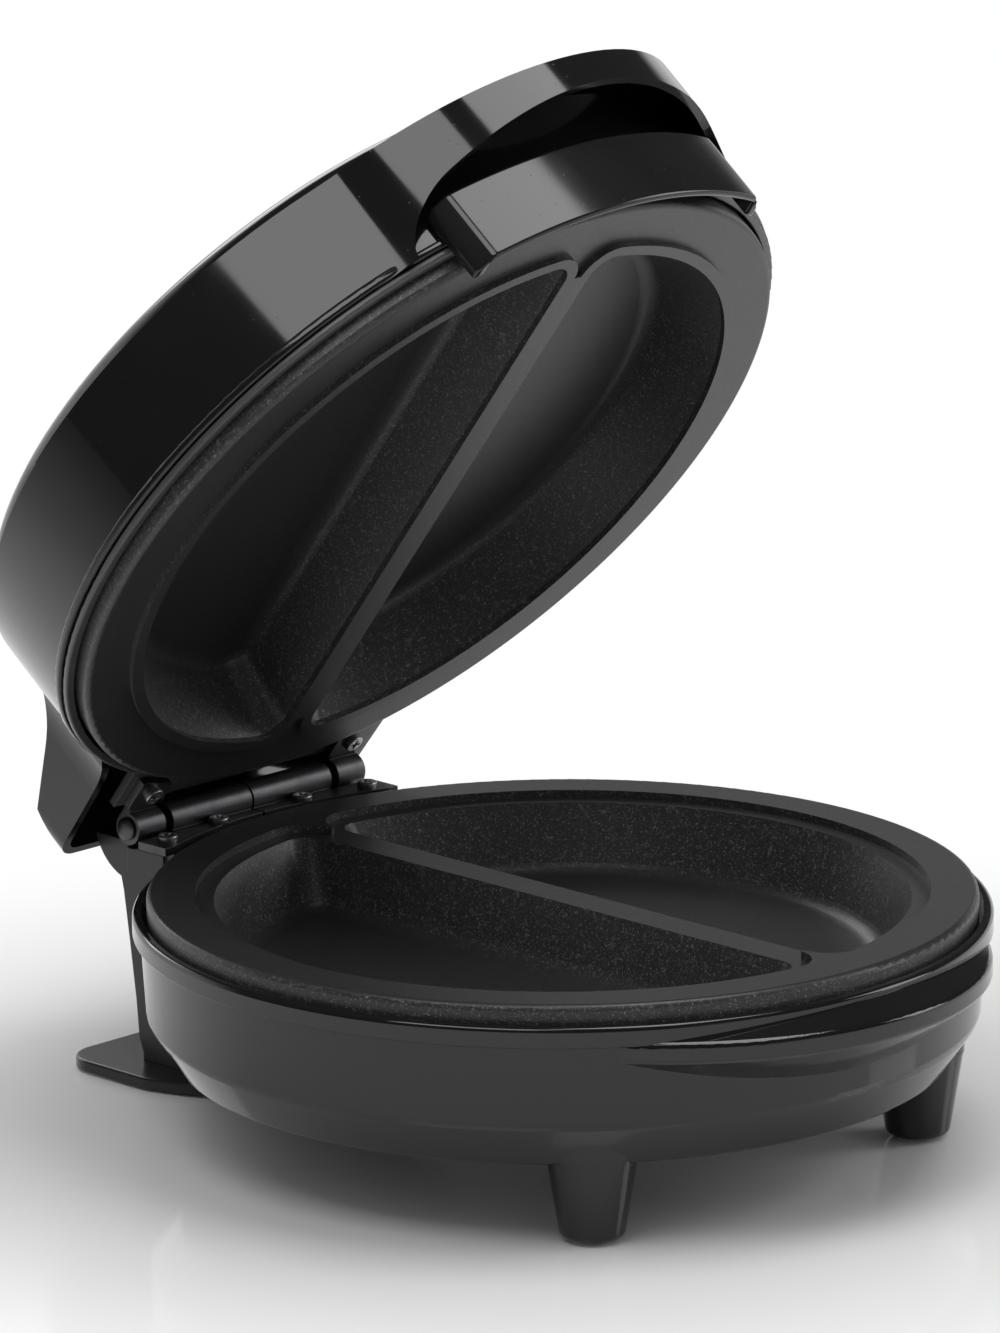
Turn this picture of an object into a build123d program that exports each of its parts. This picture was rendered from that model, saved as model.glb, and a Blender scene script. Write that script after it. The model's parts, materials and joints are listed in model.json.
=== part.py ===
"""Electric omelette maker: two hinged non-stick plates in gloss mouldings.

The model is built about the axis of the cooking plates, with the floor at z = 0, +Z up, the
hinge to the rear (+Y) and the handle to the front (-Y).  The lid is drawn shut and then swung
open to the stored pose.  At the end everything slides along Y, so that the origin lies under
the middle of the object.  Sizes are in millimetres.
"""

from build123d import *
from math import cos, radians, sin, sqrt
import os

# ---------------------------------------------------------------- driving dimensions
# Stance and hinge
CLOSED_GAP = 0.6             # between the two cooking faces with the lid shut
REST_ANGLE = 52.5            # lid opening in the stored pose, from shut
HINGE_BACK = 11.0            # hinge axis behind the plates' rims
HINGE_RISE = 1.2             # hinge axis above the lower cooking face

# Cooking plates
PLATE_R = 98.0               # outer radius of both plates
RIM_FILLET = 1.5             # rounded edge between face and skirt
DECK = 3.6                   # thickness of the flat ring
SKIRT_WALL = 3.0
SKIRT_H = 9.0
RING_W = 15.0                # flat ring outside the half-moon mouths
CAVITY_LEAN = 8.0            # how far the round wall leans inward over the depth
CAVITY_DEPTH = 18.0
CAVITY_CORNER_R = 5.5        # where the divider meets the arc, in plan
CAVITY_FLOOR_FILLET = 4.5
DIVIDER_W = 8.2              # strip between the two mouths
DIVIDER_LEAN = 4.5           # how far a divider wall leans over the depth
PAN_WALL = 2.4
PAN_FLOOR = 2.5
RIB_W = 3.0                  # sealing rib round the upper mouths
RIB_H = 1.5
RIB_SIDE_CLEAR = 0.6         # rib to groove, sideways
RIB_TIP_CLEAR = 0.4          # rib to groove, beyond the closed gap

# Heating elements, clips, shields
ELEMENT_IN = 18.0            # tube's centre line inside the circle of the screw legs
TUBE_R = 3.25
ELEMENT_GAP_ANGLE = 28.0     # half angle left open at the rear
ELEMENT_TAIL = 8.0           # straight cold end
TERMINAL_R = 1.5
TERMINAL_L = 7.0
GUIDE_W = 2.0                # cast ribs either side of the tube
GUIDE_H = 4.0
GUIDE_CLEAR = 0.15
GUIDE_GAP_HALF = 28.0        # half width left open for the cold ends
CLIP_W = 8.0
CLIP_T = 0.8
CLIP_FOOT = 5.0
CLIP_CLEAR = 0.25            # strap to the curved guides
CLIP_ANGLES = (-12.0, 192.0, 270.0)
SHIELD_T = 0.8
SHIELD_IN = 10.0             # rim of the lower shield inside the plate's rim
SHIELD_LIP = 6.0
SHIELD_AIR = 4.2             # lower shield below the element
SHIELD_CUT_AHEAD = 15.0      # the lower shield ends this far in front of the terminal block
HAT_AIR = 2.0                # upper shield above the clips
HAT_CROWN_IN = 12.0          # its crown inside the lug circle
HAT_BRIM_IN = 5.5            # its brim, inward and outward of the lug circle
HAT_BRIM_OUT = 4.0

# Base housing
WALL = 2.2                   # moulded walls
FOOT_H = 20.0                # underside of the base above the floor
RIM_GAP = 1.1                # lower plate to the inside of the rim
RIM_WALL = 2.3
RIM_H = 5.0
PLATE_STAND = 4.3            # cooking face above the rim
RIM_STEP = 1.8               # rim beyond the wall below it
RIM_LOWER_EDGE_R = 0.6
RIM_UPPER_EDGE_R = 1.2
CONE_H = 11.0                # height of the lower cone
CONE_STEP = 1.2              # wall radius lost between rim and cone
CONE_EDGE_R = 4.0
FLOOR_IN = 7.0               # underside of the base inside the plate's rim
FLOOR_EDGE_R = 2.0
SKIRT_CLEAR = 0.4            # plate skirt to its seat
LEDGE_R = 75.0               # plan arc of the front ledge
LEDGE_REACH = 9.0            # ledge beyond the rim at the front
LEDGE_DROP = 8.8             # top of the ledge's outer edge below the cooking face
LEDGE_LIP_H = 4.4
LEDGE_EDGE_R = 1.5
LEDGE_TOP_SLOPE = 0.33
LEDGE_UNDER_SLOPE = 0.81
LEDGE_DEPTH = 15.0           # how far its outline runs inward
FOOT_IN = 7.4                # middle of a front foot inside the edge of the underside
FOOT_ANGLE = -48.9           # right front foot, from the +X direction
FOOT_TOP_R = 11.0
FOOT_BOTTOM_R = 7.5
FOOT_FILLET = 2.0
PAD_R = 4.7
PAD_T = 1.6
PAD_PROUD = 0.8
LEG_IN = 5.0                 # screw legs of the lower plate inside the floors of the cavities
LEG_SCREW_GRIP = 8.0
LEG_ANGLES = (35.0, 145.0, 215.0, 325.0)
POST_R = 5.0
POST_H = 8.0                 # bosses above the underside of the base
SCREW_R = 1.5
HEAD_R = 3.1
HEAD_H = 1.8
COUNTERBORE = 4.0
HOLE_CLEAR = 0.2             # screw to a clearance hole
VENT_W = 3.0
VENT_L = 22.0
VENT_PITCH = 8.0
VENT_ROWS = 5
VENT_X = 20.0

# Rear column, foot and hinge
COLUMN_HALF_W = 36.0
COLUMN_DEPTH = 21.0          # front of the column ahead of the hinge axis
COLUMN_WALL = 2.4
COLUMN_ROOF = 4.6            # thickness over its hollow
COLUMN_RIM_RELIEF = 8.0      # it stands clear of the rim from this far below it
COLUMN_ARC_R = 13.8          # rear top of the column, about the hinge axis
COLUMN_REAR_DROP = 3.7       # top of that arc below the axis
COLUMN_KNEE_DROP = 13.0      # its lower end below the axis
COLUMN_TOE = ((-2.2, 0.0), (-2.2, 2.0), (-0.8, 5.6))       # (behind the axis, above the foot)
COLUMN_BACK = ((0.0, 43.2, 4.0), (2.0, 28.5, 20.0), (3.8, 16.4, 6.0))  # (behind, below, rounding)
COLUMN_PAD_T = 0.8           # raised patch on each side of the column
COLUMN_PAD_FRONT = 11.0      # that patch ahead of the axis and behind it
COLUMN_PAD_REAR = 1.6
COLUMN_PAD_LOW = 11.2        # its lower and upper edge below the axis
COLUMN_PAD_TOP = 4.9
COLUMN_SCREW_X = 24.0        # screws from the base into the column
COLUMN_SCREW_DROPS = (27.7, 16.7)                          # below the axis
COLUMN_SCREW_L = 10.0
COLUMN_SEAT_CUT = 0.3        # their heads bear this far into the base's wall
COLUMN_POST_REAR = 0.7       # ends of their posts behind the axis
COLUMN_HOLE_AHEAD = 4.0      # ends of their holes ahead of the axis
FLANGE_HALF_W = 46.5
FLANGE_FRONT = 43.0          # rear foot ahead of the axis and behind it
FLANGE_REAR = 16.0
FLANGE_WAIST_IN = 4.0        # how far its sides draw in ahead of the waist
FLANGE_WAIST_L = 12.0
FLANGE_WAIST_RADII = (10.0, 24.0, 6.0)
FLANGE_EDGE_R = 0.6
FLANGE_SCREW_X = 20.0        # its screws, beside the middle and ahead of the axis
FLANGE_SCREW_AHEAD = 10.0
FLANGE_SCREW_L = 10.0
FLANGE_POST_H = 14.0
FLANGE_HOLE_DEPTH = 12.0
REAR_PAD_IN_X = 9.0          # rear pads in from the sides and the rear edge
REAR_PAD_IN_Y = 11.0
FLANGE_T = 2.6
FLANGE_CORNER_R = 9.0
FLANGE_FRONT_HALF_W = 30.0
BARREL_R = 4.0
PIN_R = 2.0
PIN_RUN = 0.05               # radial clearance of the lid knuckles on the pin
PIN_END_CLEAR = 0.4          # upset heads beyond the knuckles
PIN_HEAD_OVER = 0.8
PIN_HEAD_T = 1.0
BARREL_HALF = 26.5
BARREL_SEAM = 0.3            # half of the seam between the two barrels
KNUCKLE_GAP = 2.5
KNUCKLE_W = 9.0
LEAF_T = 2.0
LEAF_OVER = 1.0              # leaves run this far past the knuckles
TROUGH_CLEAR = 1.2
LEAF_RELIEF = 0.8            # leaves start this far ahead of the barrels
LEAF_LAP = 4.0               # tabs under the barrels run this far forward
LEAF_LAND = 5.0              # leaf ahead of its screw
LEAF_LID_CLEAR = 0.6         # lid leaf behind the round wall
LEAF_SCREW_X = 33.5
LEAF_SCREW_AHEAD = 9.2       # screws ahead of the axis
INNER_SCREW_X = 14.0
INNER_SCREW_AHEAD = 6.5
LEAF_HOLE_DEPTH = 4.0
LEAF_SCREW_GRIP = 3.6
LEAF_HEAD_R = 2.4
LEAF_HEAD_H = 1.4
BUSH_R = 6.5
BUSH_FLANGE_R = 8.5
BUSH_FLANGE_T = 2.5
BUSH_BORE_R = 3.6
BUSH_NECK = 4.5              # bush in front of its flange
BUSH_DROP = 29.2             # bush below the hinge axis
BUSH_SEAT_BACK = 1.2         # flat under its flange behind the hinge axis

# Lid
LID_OVER = 3.0               # wall of the lid shell outside the plates' rims
LID_LIP_RISE = 4.5           # frame lip above the lower cooking face
LIP_H = 1.8
BEAD_GAP = 0.3
BEAD_PROUD = 0.7
BEAD_H = 2.3
BEAD_EDGE_R = 0.9
BEAD_SLOPE = 0.5
LID_AIR = 11.8               # top centre above the upper shield
LID_CROWN_FALL = 1.7         # top of the wall, before rounding, below the top centre
LID_EDGE_R = 7.5
LIP_EDGE_R = 0.7
LIP_TOP_EDGE_R = 0.5
FRAME_WALL = 1.1
FRAME_SHELF_RISE = 15.0
FRAME_SHELF_T = 2.0
FRAME_SHELF_IN = 12.0        # edge of the shelf inside the plates' rims
FRAME_CLEAR = 0.9            # upper plate to the frame
LUG_IN = 6.0                 # screw lugs of the upper plate inside its rim
LUG_SCREW_GRIP = 8.0
LUG_ANGLES = (30.0, 150.0, 210.0, 330.0)
LUG_POST_R = 4.2
TONGUE_HALF_W = 42.0
TONGUE_T = 2.0
TONGUE_AHEAD = 4.6           # rear edge of the tongue ahead of the hinge axis
TONGUE_SCREW_GRIP = 8.0
HOOD_HALF_W = 48.0           # rear hood, at its rear corners
HOOD_FLARE = 3.5             # wider than that where it meets the round wall
HOOD_BACK = 15.3             # lower rear edge of the hood behind the hinge axis
HOOD_BOTTOM_RISE = 8.0
HOOD_BREAK_IN = 6.1          # the rear wall leans in this far up to the top
HOOD_BREAK_RISE = 22.0
HOOD_ROOT_RISE = 36.0        # top of the hood where it leaves the round wall
HOOD_KNEE_OUT = 11.0         # where its top flattens, outside the round wall
HOOD_KNEE_RISE = 27.5
HOOD_KNEE_BLEND_R = 30.0
HOOD_EDGE_OUT = 39.0         # where that flatter slope would end, far behind
HOOD_EDGE_RISE = 14.0
HOOD_BOSS_R = 4.6            # screw bosses under the hood
HOOD_BOSS_RISE = 34.0
HOOD_HOLE_DEPTH = 10.0
SLOPE_SKIN = 1.12            # vertical thickness of a sloping wall over its wall
HOOD_CORNER_R = 6.0
HOOD_BLEND_R = 22.0
VISOR_R = 61.0               # plan arc of the visor
VISOR_REACH = 18.9           # visor in front of the round wall
VISOR_BLEND_R = 28.0
VISOR_WALL = 2.0
VISOR_LIP_RISE = 27.8        # top of the visor at its front edge
VISOR_SLOPE = 0.448
ARCH_HALF_W = 53.0
ARCH_FOOT_RISE = 4.2
ARCH_TOP_RISE = 22.0
ARCH_KNEE_X = 42.0           # where its flat crown turns down
ARCH_KNEE_RISE = 18.4

# Handle band
BAND_GAP = 1.2               # behind the band, to the round wall
BAND_DEPTH = 5.8
BAND_HALF_W = 46.0
BAND_BOTTOM_RISE = -5.0
BAND_H = 20.0
BAND_WALL = 2.0
BAND_END_CHAMFER = 3.0
BAND_EDGE_R = 1.2
BAND_POST_X = 28.0
BAND_POST_R = 2.6
BAND_POST_DROP = 2.6         # post centre below the top of the band
BAND_POST_ROOT = 1.0         # posts start this far inside the band's front face
BAND_HOLE_END = 3.5          # their holes end this far inside it
BAND_HEAD_R = 2.3
BAND_HEAD_CLEAR = 0.6
BAND_SEAT = 0.9              # heads stand this far into the wall
BAND_SCREW_R = 1.1
BAND_SCREW_L = 8.6

# Inner parts
THERMOSTAT_R = 7.5
THERMOSTAT_H = 6.0
THERMOSTAT_EAR = 22.0
THERMOSTAT_EAR_W = 7.0
THERMOSTAT_EAR_T = 0.8
TAB_W = 6.3                  # its push-on terminal
TAB_T = 0.8
TAB_L = 4.0
TAB_IN = 2.0
PAD_BLOCK_L = 24.0           # cast block under the divider
PAD_BLOCK_W = 20.0
PAD_BLOCK_H = 14.5
BLOCK_L = 30.0               # terminal block
BLOCK_W = 13.0
BLOCK_H = 10.0
BLOCK_AHEAD = 38.0           # its middle ahead of the hinge axis
BLOCK_EDGE_R = 1.5
BLOCK_PITCH = 10.0           # its three sunk screws
BLOCK_HOLE_R = 2.0
BLOCK_HOLE_DEPTH = 3.0
BLOCK_ROW = 3.0              # screws ahead of its middle, leads behind it
WIRE_R = 1.1
WIRE_BEND_R = 2.6
LID_WIRE_X = 4.0
LID_WIRE_LEAD = 5.0          # straight run beyond a terminal pin
FUSE_R = 2.4
FUSE_L = 14.0
FUSE_BASE_T = 1.2
FUSE_BASE_OVER = 2.0
LAMP_X = 9.0
LAMP_IN = 31.0               # lamps inside the lid's round wall
LENS_R = 3.0
LENS_EDGE_R = 0.8
LENS_DROP = 0.4              # top of a lens below the top centre of the lid
LENS_FLANGE = 1.0
LENS_FLANGE_T = 0.8
LENS_SEAT_GAP = 1.3          # flange below the underside of the lid's top
BOARD_L = 38.0
BOARD_W = 12.0
BOARD_T = 1.6
BOARD_DROP = 9.0             # board below the top centre of the lid
LAMP_R = 2.3
LAMP_H = 2.2
BOARD_POST_R = 2.5

# ---------------------------------------------------------------- derived places
PAN_H = CAVITY_DEPTH + PAN_FLOOR
PLATE_FACE_Z = FOOT_H + POST_H + SHIELD_T + SHIELD_AIR + 2 * TUBE_R + PAN_H
HINGE_Y = PLATE_R + HINGE_BACK
HINGE_Z = PLATE_FACE_Z + HINGE_RISE
UPPER_FACE_Z = PLATE_FACE_Z + CLOSED_GAP
CAVITY_R = PLATE_R - RING_W
CAVITY_FLOOR_R = CAVITY_R - CAVITY_LEAN
LEG_R = CAVITY_FLOOR_R - LEG_IN
ELEMENT_R = LEG_R - ELEMENT_IN
LUG_R = PLATE_R - LUG_IN
SHIELD_R = PLATE_R - SHIELD_IN
LOWER_PAN_Z = PLATE_FACE_Z - PAN_H
UPPER_PAN_Z = UPPER_FACE_Z + PAN_H
RIM_INNER_R = PLATE_R + RIM_GAP
RIM_R = RIM_INNER_R + RIM_WALL
RIM_TOP_Z = PLATE_FACE_Z - PLATE_STAND
RIM_BOTTOM_Z = RIM_TOP_Z - RIM_H
WALL_R = RIM_R - RIM_STEP
CONE_R = WALL_R - CONE_STEP
CONE_Z = FOOT_H + CONE_H
BASE_FLOOR_R = PLATE_R - FLOOR_IN
LEDGE_Y = LEDGE_R - RIM_R - LEDGE_REACH
LEDGE_LIP_Z = PLATE_FACE_Z - LEDGE_DROP
FOOT_X = (BASE_FLOOR_R - FOOT_IN) * cos(radians(FOOT_ANGLE))
FOOT_Y = (BASE_FLOOR_R - FOOT_IN) * sin(radians(FOOT_ANGLE))
SEAT_Z = PLATE_FACE_Z - SKIRT_H - SKIRT_CLEAR
FLOOR_Z = FOOT_H + WALL
POST_TOP_Z = FOOT_H + POST_H
LEG_BOTTOM_Z = POST_TOP_Z + SHIELD_T
BLOCK_Y = HINGE_Y - BLOCK_AHEAD
SHIELD_CUT_Y = BLOCK_Y - SHIELD_CUT_AHEAD
FLANGE_TOP_Z = PAD_PROUD + FLANGE_T
FLANGE_FRONT_Y = HINGE_Y - FLANGE_FRONT
FLANGE_REAR_Y = HINGE_Y + FLANGE_REAR
FLANGE_SCREW_Y = HINGE_Y - FLANGE_SCREW_AHEAD
COLUMN_FRONT_Y = HINGE_Y - COLUMN_DEPTH
COLUMN_TOP_Z = HINGE_Z - BARREL_R
COLUMN_REAR_TOP_Z = HINGE_Z - COLUMN_REAR_DROP
LEAF_SCREW_Y = HINGE_Y - LEAF_SCREW_AHEAD
INNER_SCREW_Y = HINGE_Y - INNER_SCREW_AHEAD
LEAF_FRONT_Y = HINGE_Y - BARREL_R - LEAF_RELIEF
KNUCKLE_START = BARREL_HALF + KNUCKLE_GAP
KNUCKLE_END = KNUCKLE_START + KNUCKLE_W
LID_R = PLATE_R + LID_OVER
LIP_Z = PLATE_FACE_Z + LID_LIP_RISE
BEAD_Z = LIP_Z + LIP_H + BEAD_GAP
FRAME_INNER_R = PLATE_R + FRAME_CLEAR
FRAME_OUTER_R = FRAME_INNER_R + FRAME_WALL
SHELF_Z = PLATE_FACE_Z + FRAME_SHELF_RISE
SHELF_TOP_Z = SHELF_Z + FRAME_SHELF_T
FRAME_SHELF_R = PLATE_R - FRAME_SHELF_IN
LID_INNER_R = LID_R - WALL
HAT_Z = UPPER_PAN_Z + 2 * TUBE_R + CLIP_T + HAT_AIR
CROWN_Z = HAT_Z + SHIELD_T + LID_AIR
SHOULDER_Z = CROWN_Z - LID_CROWN_FALL
HOOD_REAR_Y = HINGE_Y + HOOD_BACK
HOOD_KNEE_R = LID_R + HOOD_KNEE_OUT
HOOD_EDGE_R = LID_R + HOOD_EDGE_OUT
HOOD_TOP_Z = PLATE_FACE_Z + HOOD_BOSS_RISE
VISOR_FRONT_Y = -LID_R - VISOR_REACH
TONGUE_REAR_Y = HINGE_Y - TONGUE_AHEAD
TONGUE_Z = HINGE_Z + BARREL_R
TONGUE_TOP_Z = TONGUE_Z + TONGUE_T
BAND_INNER_R = LID_R + BAND_GAP
BAND_R = BAND_INNER_R + BAND_DEPTH
BAND_BOTTOM_Z = PLATE_FACE_Z + BAND_BOTTOM_RISE
BAND_TOP_Z = BAND_BOTTOM_Z + BAND_H
BAND_POST_Z = BAND_TOP_Z - BAND_POST_DROP
BUSH_Z = HINGE_Z - BUSH_DROP
BUSH_SEAT_Y = HINGE_Y + BUSH_SEAT_BACK
LAMP_Y = LAMP_IN - LID_R
BOARD_Z = CROWN_Z - BOARD_DROP
ABOVE = 60.0                 # taller than anything it cuts
WIDE = 2.0 * LID_R           # wider than anything it cuts


# ---------------------------------------------------------------- shared shapes
def outline(*corners):
    """Face bounded by straight runs; each corner is (a, b) or (a, b, rounding radius)."""
    points = [(corner[0], corner[1]) for corner in corners]
    radii = [corner[2] if len(corner) > 2 else 0 for corner in corners]
    return make_face(FilletPolyline(*points, radius=radii, close=True))


def turned(*corners, centre_y=0.0):
    """Solid turned about a vertical axis from (radius, height) corners."""
    section = Plane.XZ * outline(*corners)
    return Pos(0, centre_y, 0) * revolve(section, Axis.Z)


def side_profile(face, half_width):
    """Solid with a (y, z) outline, the same on both sides of the middle plane."""
    return extrude(Plane.YZ * face, amount=half_width, both=True)


def upright(radius, bottom, top, x=0.0, y=0.0):
    """Vertical cylinder between two heights."""
    return Pos(x, y, (bottom + top) / 2) * Cylinder(radius, top - bottom)


def along_x(radius, start, end, y, z):
    """Cylinder along X between two places."""
    return Pos((start + end) / 2, y, z) * Rot(0, 90, 0) * Cylinder(radius, end - start)


def along_y(radius, start, end, x, z):
    """Cylinder along Y between two places."""
    return Pos(x, (start + end) / 2, z) * Rot(90, 0, 0) * Cylinder(radius, end - start)


def box_between(low, high):
    """Box between two opposite corners."""
    size = [b - a for a, b in zip(low, high)]
    middle = [(a + b) / 2 for a, b in zip(low, high)]
    return Pos(*middle) * Box(*size)


def around(radius, angles):
    """Plan positions at the given angles on a circle."""
    return [(radius * cos(radians(a)), radius * sin(radians(a))) for a in angles]


def chord_y(radius, x):
    """Distance from the middle to a circle's edge, at an offset."""
    return sqrt(radius * radius - x * x)


def screw(length, radius=SCREW_R, head_r=HEAD_R, head_h=HEAD_H):
    """Pan-head screw with a cross recess; the seat of its head is at the origin, shank up."""
    recess_w = 0.35 * head_r
    recess_d = 0.6 * head_h
    body = upright(radius, 0, length) + upright(head_r, -head_h, 0)
    body = fillet(body.edges().group_by(Axis.Z)[0], 0.3 * head_h)
    for turn in (0, 90):
        slot = Box(1.3 * head_r, recess_w, recess_d, align=(Align.CENTER, Align.CENTER, Align.MIN))
        body -= Pos(0, 0, -head_h) * Rot(0, 0, turn) * slot
    return body


def both_sides(shape):
    """A shape and its mirror image across the middle plane, as one group."""
    return shape + mirror(shape, Plane.YZ)


def group(shapes):
    """Separate solids kept together as one piece."""
    first, *others = shapes
    return first + others


# ---------------------------------------------------------------- cooking plates
def half_moon(side, radius, inset, corner_r, height=0.0):
    """Half-moon face on one side of the divider, with rounded corners."""
    keep = Pos(side * (inset + radius), 0) * Rectangle(2 * radius, 2 * radius + 2)
    face = Circle(radius) & keep
    return Pos(0, 0, height) * fillet(face.vertices(), corner_r)


def cavity(side):
    """Hollow of one half-moon, its mouth in the plane z = 0 and its floor below."""
    floor_inset = DIVIDER_W / 2 + DIVIDER_LEAN
    mouth = half_moon(side, CAVITY_R, DIVIDER_W / 2, CAVITY_CORNER_R)
    floor = half_moon(side, CAVITY_FLOOR_R, floor_inset, CAVITY_CORNER_R, -CAVITY_DEPTH)
    hollow = loft([mouth, floor], ruled=True)
    return fillet(hollow.edges().group_by(Axis.Z)[0], CAVITY_FLOOR_FILLET)


def pan(side):
    """Outside of one half-moon pan."""
    corner_r = CAVITY_CORNER_R + PAN_WALL
    floor_inset = DIVIDER_W / 2 + DIVIDER_LEAN - PAN_WALL
    top = half_moon(side, CAVITY_R + PAN_WALL, DIVIDER_W / 2 - PAN_WALL, corner_r)
    bottom = half_moon(side, CAVITY_FLOOR_R + PAN_WALL, floor_inset, corner_r, -PAN_H)
    return loft([top, bottom], ruled=True)


def rib_plan(width):
    """Band round both mouths, joined over the divider."""
    strip_half = chord_y(CAVITY_R, DIVIDER_W / 2) - CAVITY_CORNER_R
    plan = Rectangle(DIVIDER_W, 2 * strip_half)
    for side in (1, -1):
        plan += offset(half_moon(side, CAVITY_R, DIVIDER_W / 2, CAVITY_CORNER_R), width)
    return plan


def element_guides():
    """Cast ribs that hold the heating tube against the pans, open at the rear."""
    reach = TUBE_R + GUIDE_CLEAR
    ribs = None
    for inner in (ELEMENT_R - reach - GUIDE_W, ELEMENT_R + reach):
        ring = upright(inner + GUIDE_W, -PAN_H - GUIDE_H, -PAN_H)
        ring -= upright(inner, -PAN_H - GUIDE_H, -PAN_H)
        ribs = ring if ribs is None else ribs + ring
    rear_low = (-GUIDE_GAP_HALF, 0, -PAN_H - GUIDE_H - 1)
    return ribs - box_between(rear_low, (GUIDE_GAP_HALF, PLATE_R, -PAN_H + 1))


def plate_casting():
    """Casting common to both plates: flat ring, skirt, two pans, guides and centre block."""
    body = upright(PLATE_R, -SKIRT_H, 0)
    body -= upright(PLATE_R - SKIRT_WALL, -SKIRT_H, -DECK)
    body = fillet(body.edges().group_by(Axis.Z)[-1], RIM_FILLET)
    body += pan(1) + pan(-1)
    block = Pos(0, 0, -PAN_H + PAD_BLOCK_H / 2) * Box(PAD_BLOCK_W, PAD_BLOCK_L, PAD_BLOCK_H)
    body += block + element_guides()
    return body - cavity(1) - cavity(-1)


def lower_cooking_plate():
    """Lower plate: groove round the mouths and four screw legs."""
    groove_depth = RIB_H + RIB_TIP_CLEAR
    body = plate_casting()
    body -= extrude(rib_plan(RIB_W + RIB_SIDE_CLEAR), amount=-groove_depth)
    leg_bottom = LEG_BOTTOM_Z - PLATE_FACE_Z
    for x, y in around(LEG_R, LEG_ANGLES):
        body += upright(POST_R, leg_bottom, -PAN_H, x, y)
        body -= upright(SCREW_R, leg_bottom, -PAN_H + PAN_FLOOR / 2, x, y)
    return Pos(0, 0, PLATE_FACE_Z) * body


def upper_cooking_plate():
    """Upper plate: the casting turned over, with the sealing rib and four screw lugs."""
    body = plate_casting()
    rib = extrude(rib_plan(RIB_W), amount=RIB_H)
    for side in (1, -1):
        rib -= extrude(half_moon(side, CAVITY_R, DIVIDER_W / 2, CAVITY_CORNER_R), amount=RIB_H)
    body += rib
    lug_end = UPPER_FACE_Z - SHELF_Z
    for x, y in around(LUG_R, LUG_ANGLES):
        body += upright(LUG_POST_R, lug_end, -DECK, x, y)
        body -= upright(SCREW_R, lug_end, -DECK + DECK / 2, x, y)
    return Pos(0, 0, UPPER_FACE_Z) * Rot(0, 180, 0) * body


# ---------------------------------------------------------------- heating parts
def element_end():
    """Plan position and direction of the tube where its arc stops, on the right side."""
    angle = radians(90.0 - ELEMENT_GAP_ANGLE)
    place = Vector(ELEMENT_R * cos(angle), ELEMENT_R * sin(angle), 0)
    return place, Vector(-sin(angle), cos(angle), 0)


def heating_element():
    """Horseshoe tube with straight cold ends and terminal pins, centre line at z = 0."""
    arc = CenterArc((0, 0), ELEMENT_R, -90.0, 180.0 - ELEMENT_GAP_ANGLE)
    half = sweep(Plane(origin=arc @ 0, z_dir=arc % 0) * Circle(TUBE_R), path=arc)
    start, heading = element_end()
    half += extrude(Plane(origin=start, z_dir=heading) * Circle(TUBE_R), amount=ELEMENT_TAIL)
    pin_plane = Plane(origin=start + heading * ELEMENT_TAIL, z_dir=heading)
    half += extrude(pin_plane * Circle(TERMINAL_R), amount=TERMINAL_L)
    return half + mirror(half, Plane.YZ)


def element_clips(seat_z, tube_side):
    """Three straps over the tube, seated at a height; the tube lies below (-1) or above (1)."""
    reach = TUBE_R + GUIDE_CLEAR + GUIDE_W + CLIP_CLEAR
    drop = -tube_side * 2 * TUBE_R
    skin = -tube_side * CLIP_T
    section = outline(
        (-reach - CLIP_FOOT, 0), (-reach, 0), (-reach, -drop), (reach, -drop),
        (reach, 0), (reach + CLIP_FOOT, 0), (reach + CLIP_FOOT, -skin),
        (reach + CLIP_T, -skin), (reach + CLIP_T, -drop - skin),
        (-reach - CLIP_T, -drop - skin), (-reach - CLIP_T, -skin),
        (-reach - CLIP_FOOT, -skin))
    strap = extrude(Plane.XZ * section, amount=CLIP_W / 2, both=True)
    return group(Rot(0, 0, turn) * Pos(ELEMENT_R, 0, seat_z) * strap for turn in CLIP_ANGLES)


def lower_heat_shield():
    """Aluminium dish under the lower element, cut off in front of the terminal block."""
    dish = upright(SHIELD_R, POST_TOP_Z, POST_TOP_Z + SHIELD_LIP)
    dish -= upright(SHIELD_R - SHIELD_T, POST_TOP_Z + SHIELD_T, POST_TOP_Z + SHIELD_LIP)
    dish -= box_between((-WIDE, SHIELD_CUT_Y, 0), (WIDE, WIDE, ABOVE))
    for x, y in around(LEG_R, LEG_ANGLES):
        dish -= upright(SCREW_R + HOLE_CLEAR, 0, ABOVE, x, y)
    return dish


def upper_heat_shield():
    """Hat-shaped shield over the upper element; its brim lies on the lid frame."""
    crown_r = LUG_R - HAT_CROWN_IN
    brim_in_r = LUG_R - HAT_BRIM_IN
    brim_out_r = LUG_R + HAT_BRIM_OUT
    hat = turned(
        (0, HAT_Z), (crown_r, HAT_Z), (brim_in_r, SHELF_TOP_Z), (brim_out_r, SHELF_TOP_Z),
        (brim_out_r, SHELF_TOP_Z + SHIELD_T), (brim_in_r + SHIELD_T, SHELF_TOP_Z + SHIELD_T),
        (crown_r + SHIELD_T / 2, HAT_Z + SHIELD_T), (0, HAT_Z + SHIELD_T))
    for x, y in around(LUG_R, LUG_ANGLES):
        hat -= upright(SCREW_R + HOLE_CLEAR, 0, 3 * ABOVE, x, y)
    return hat


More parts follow.
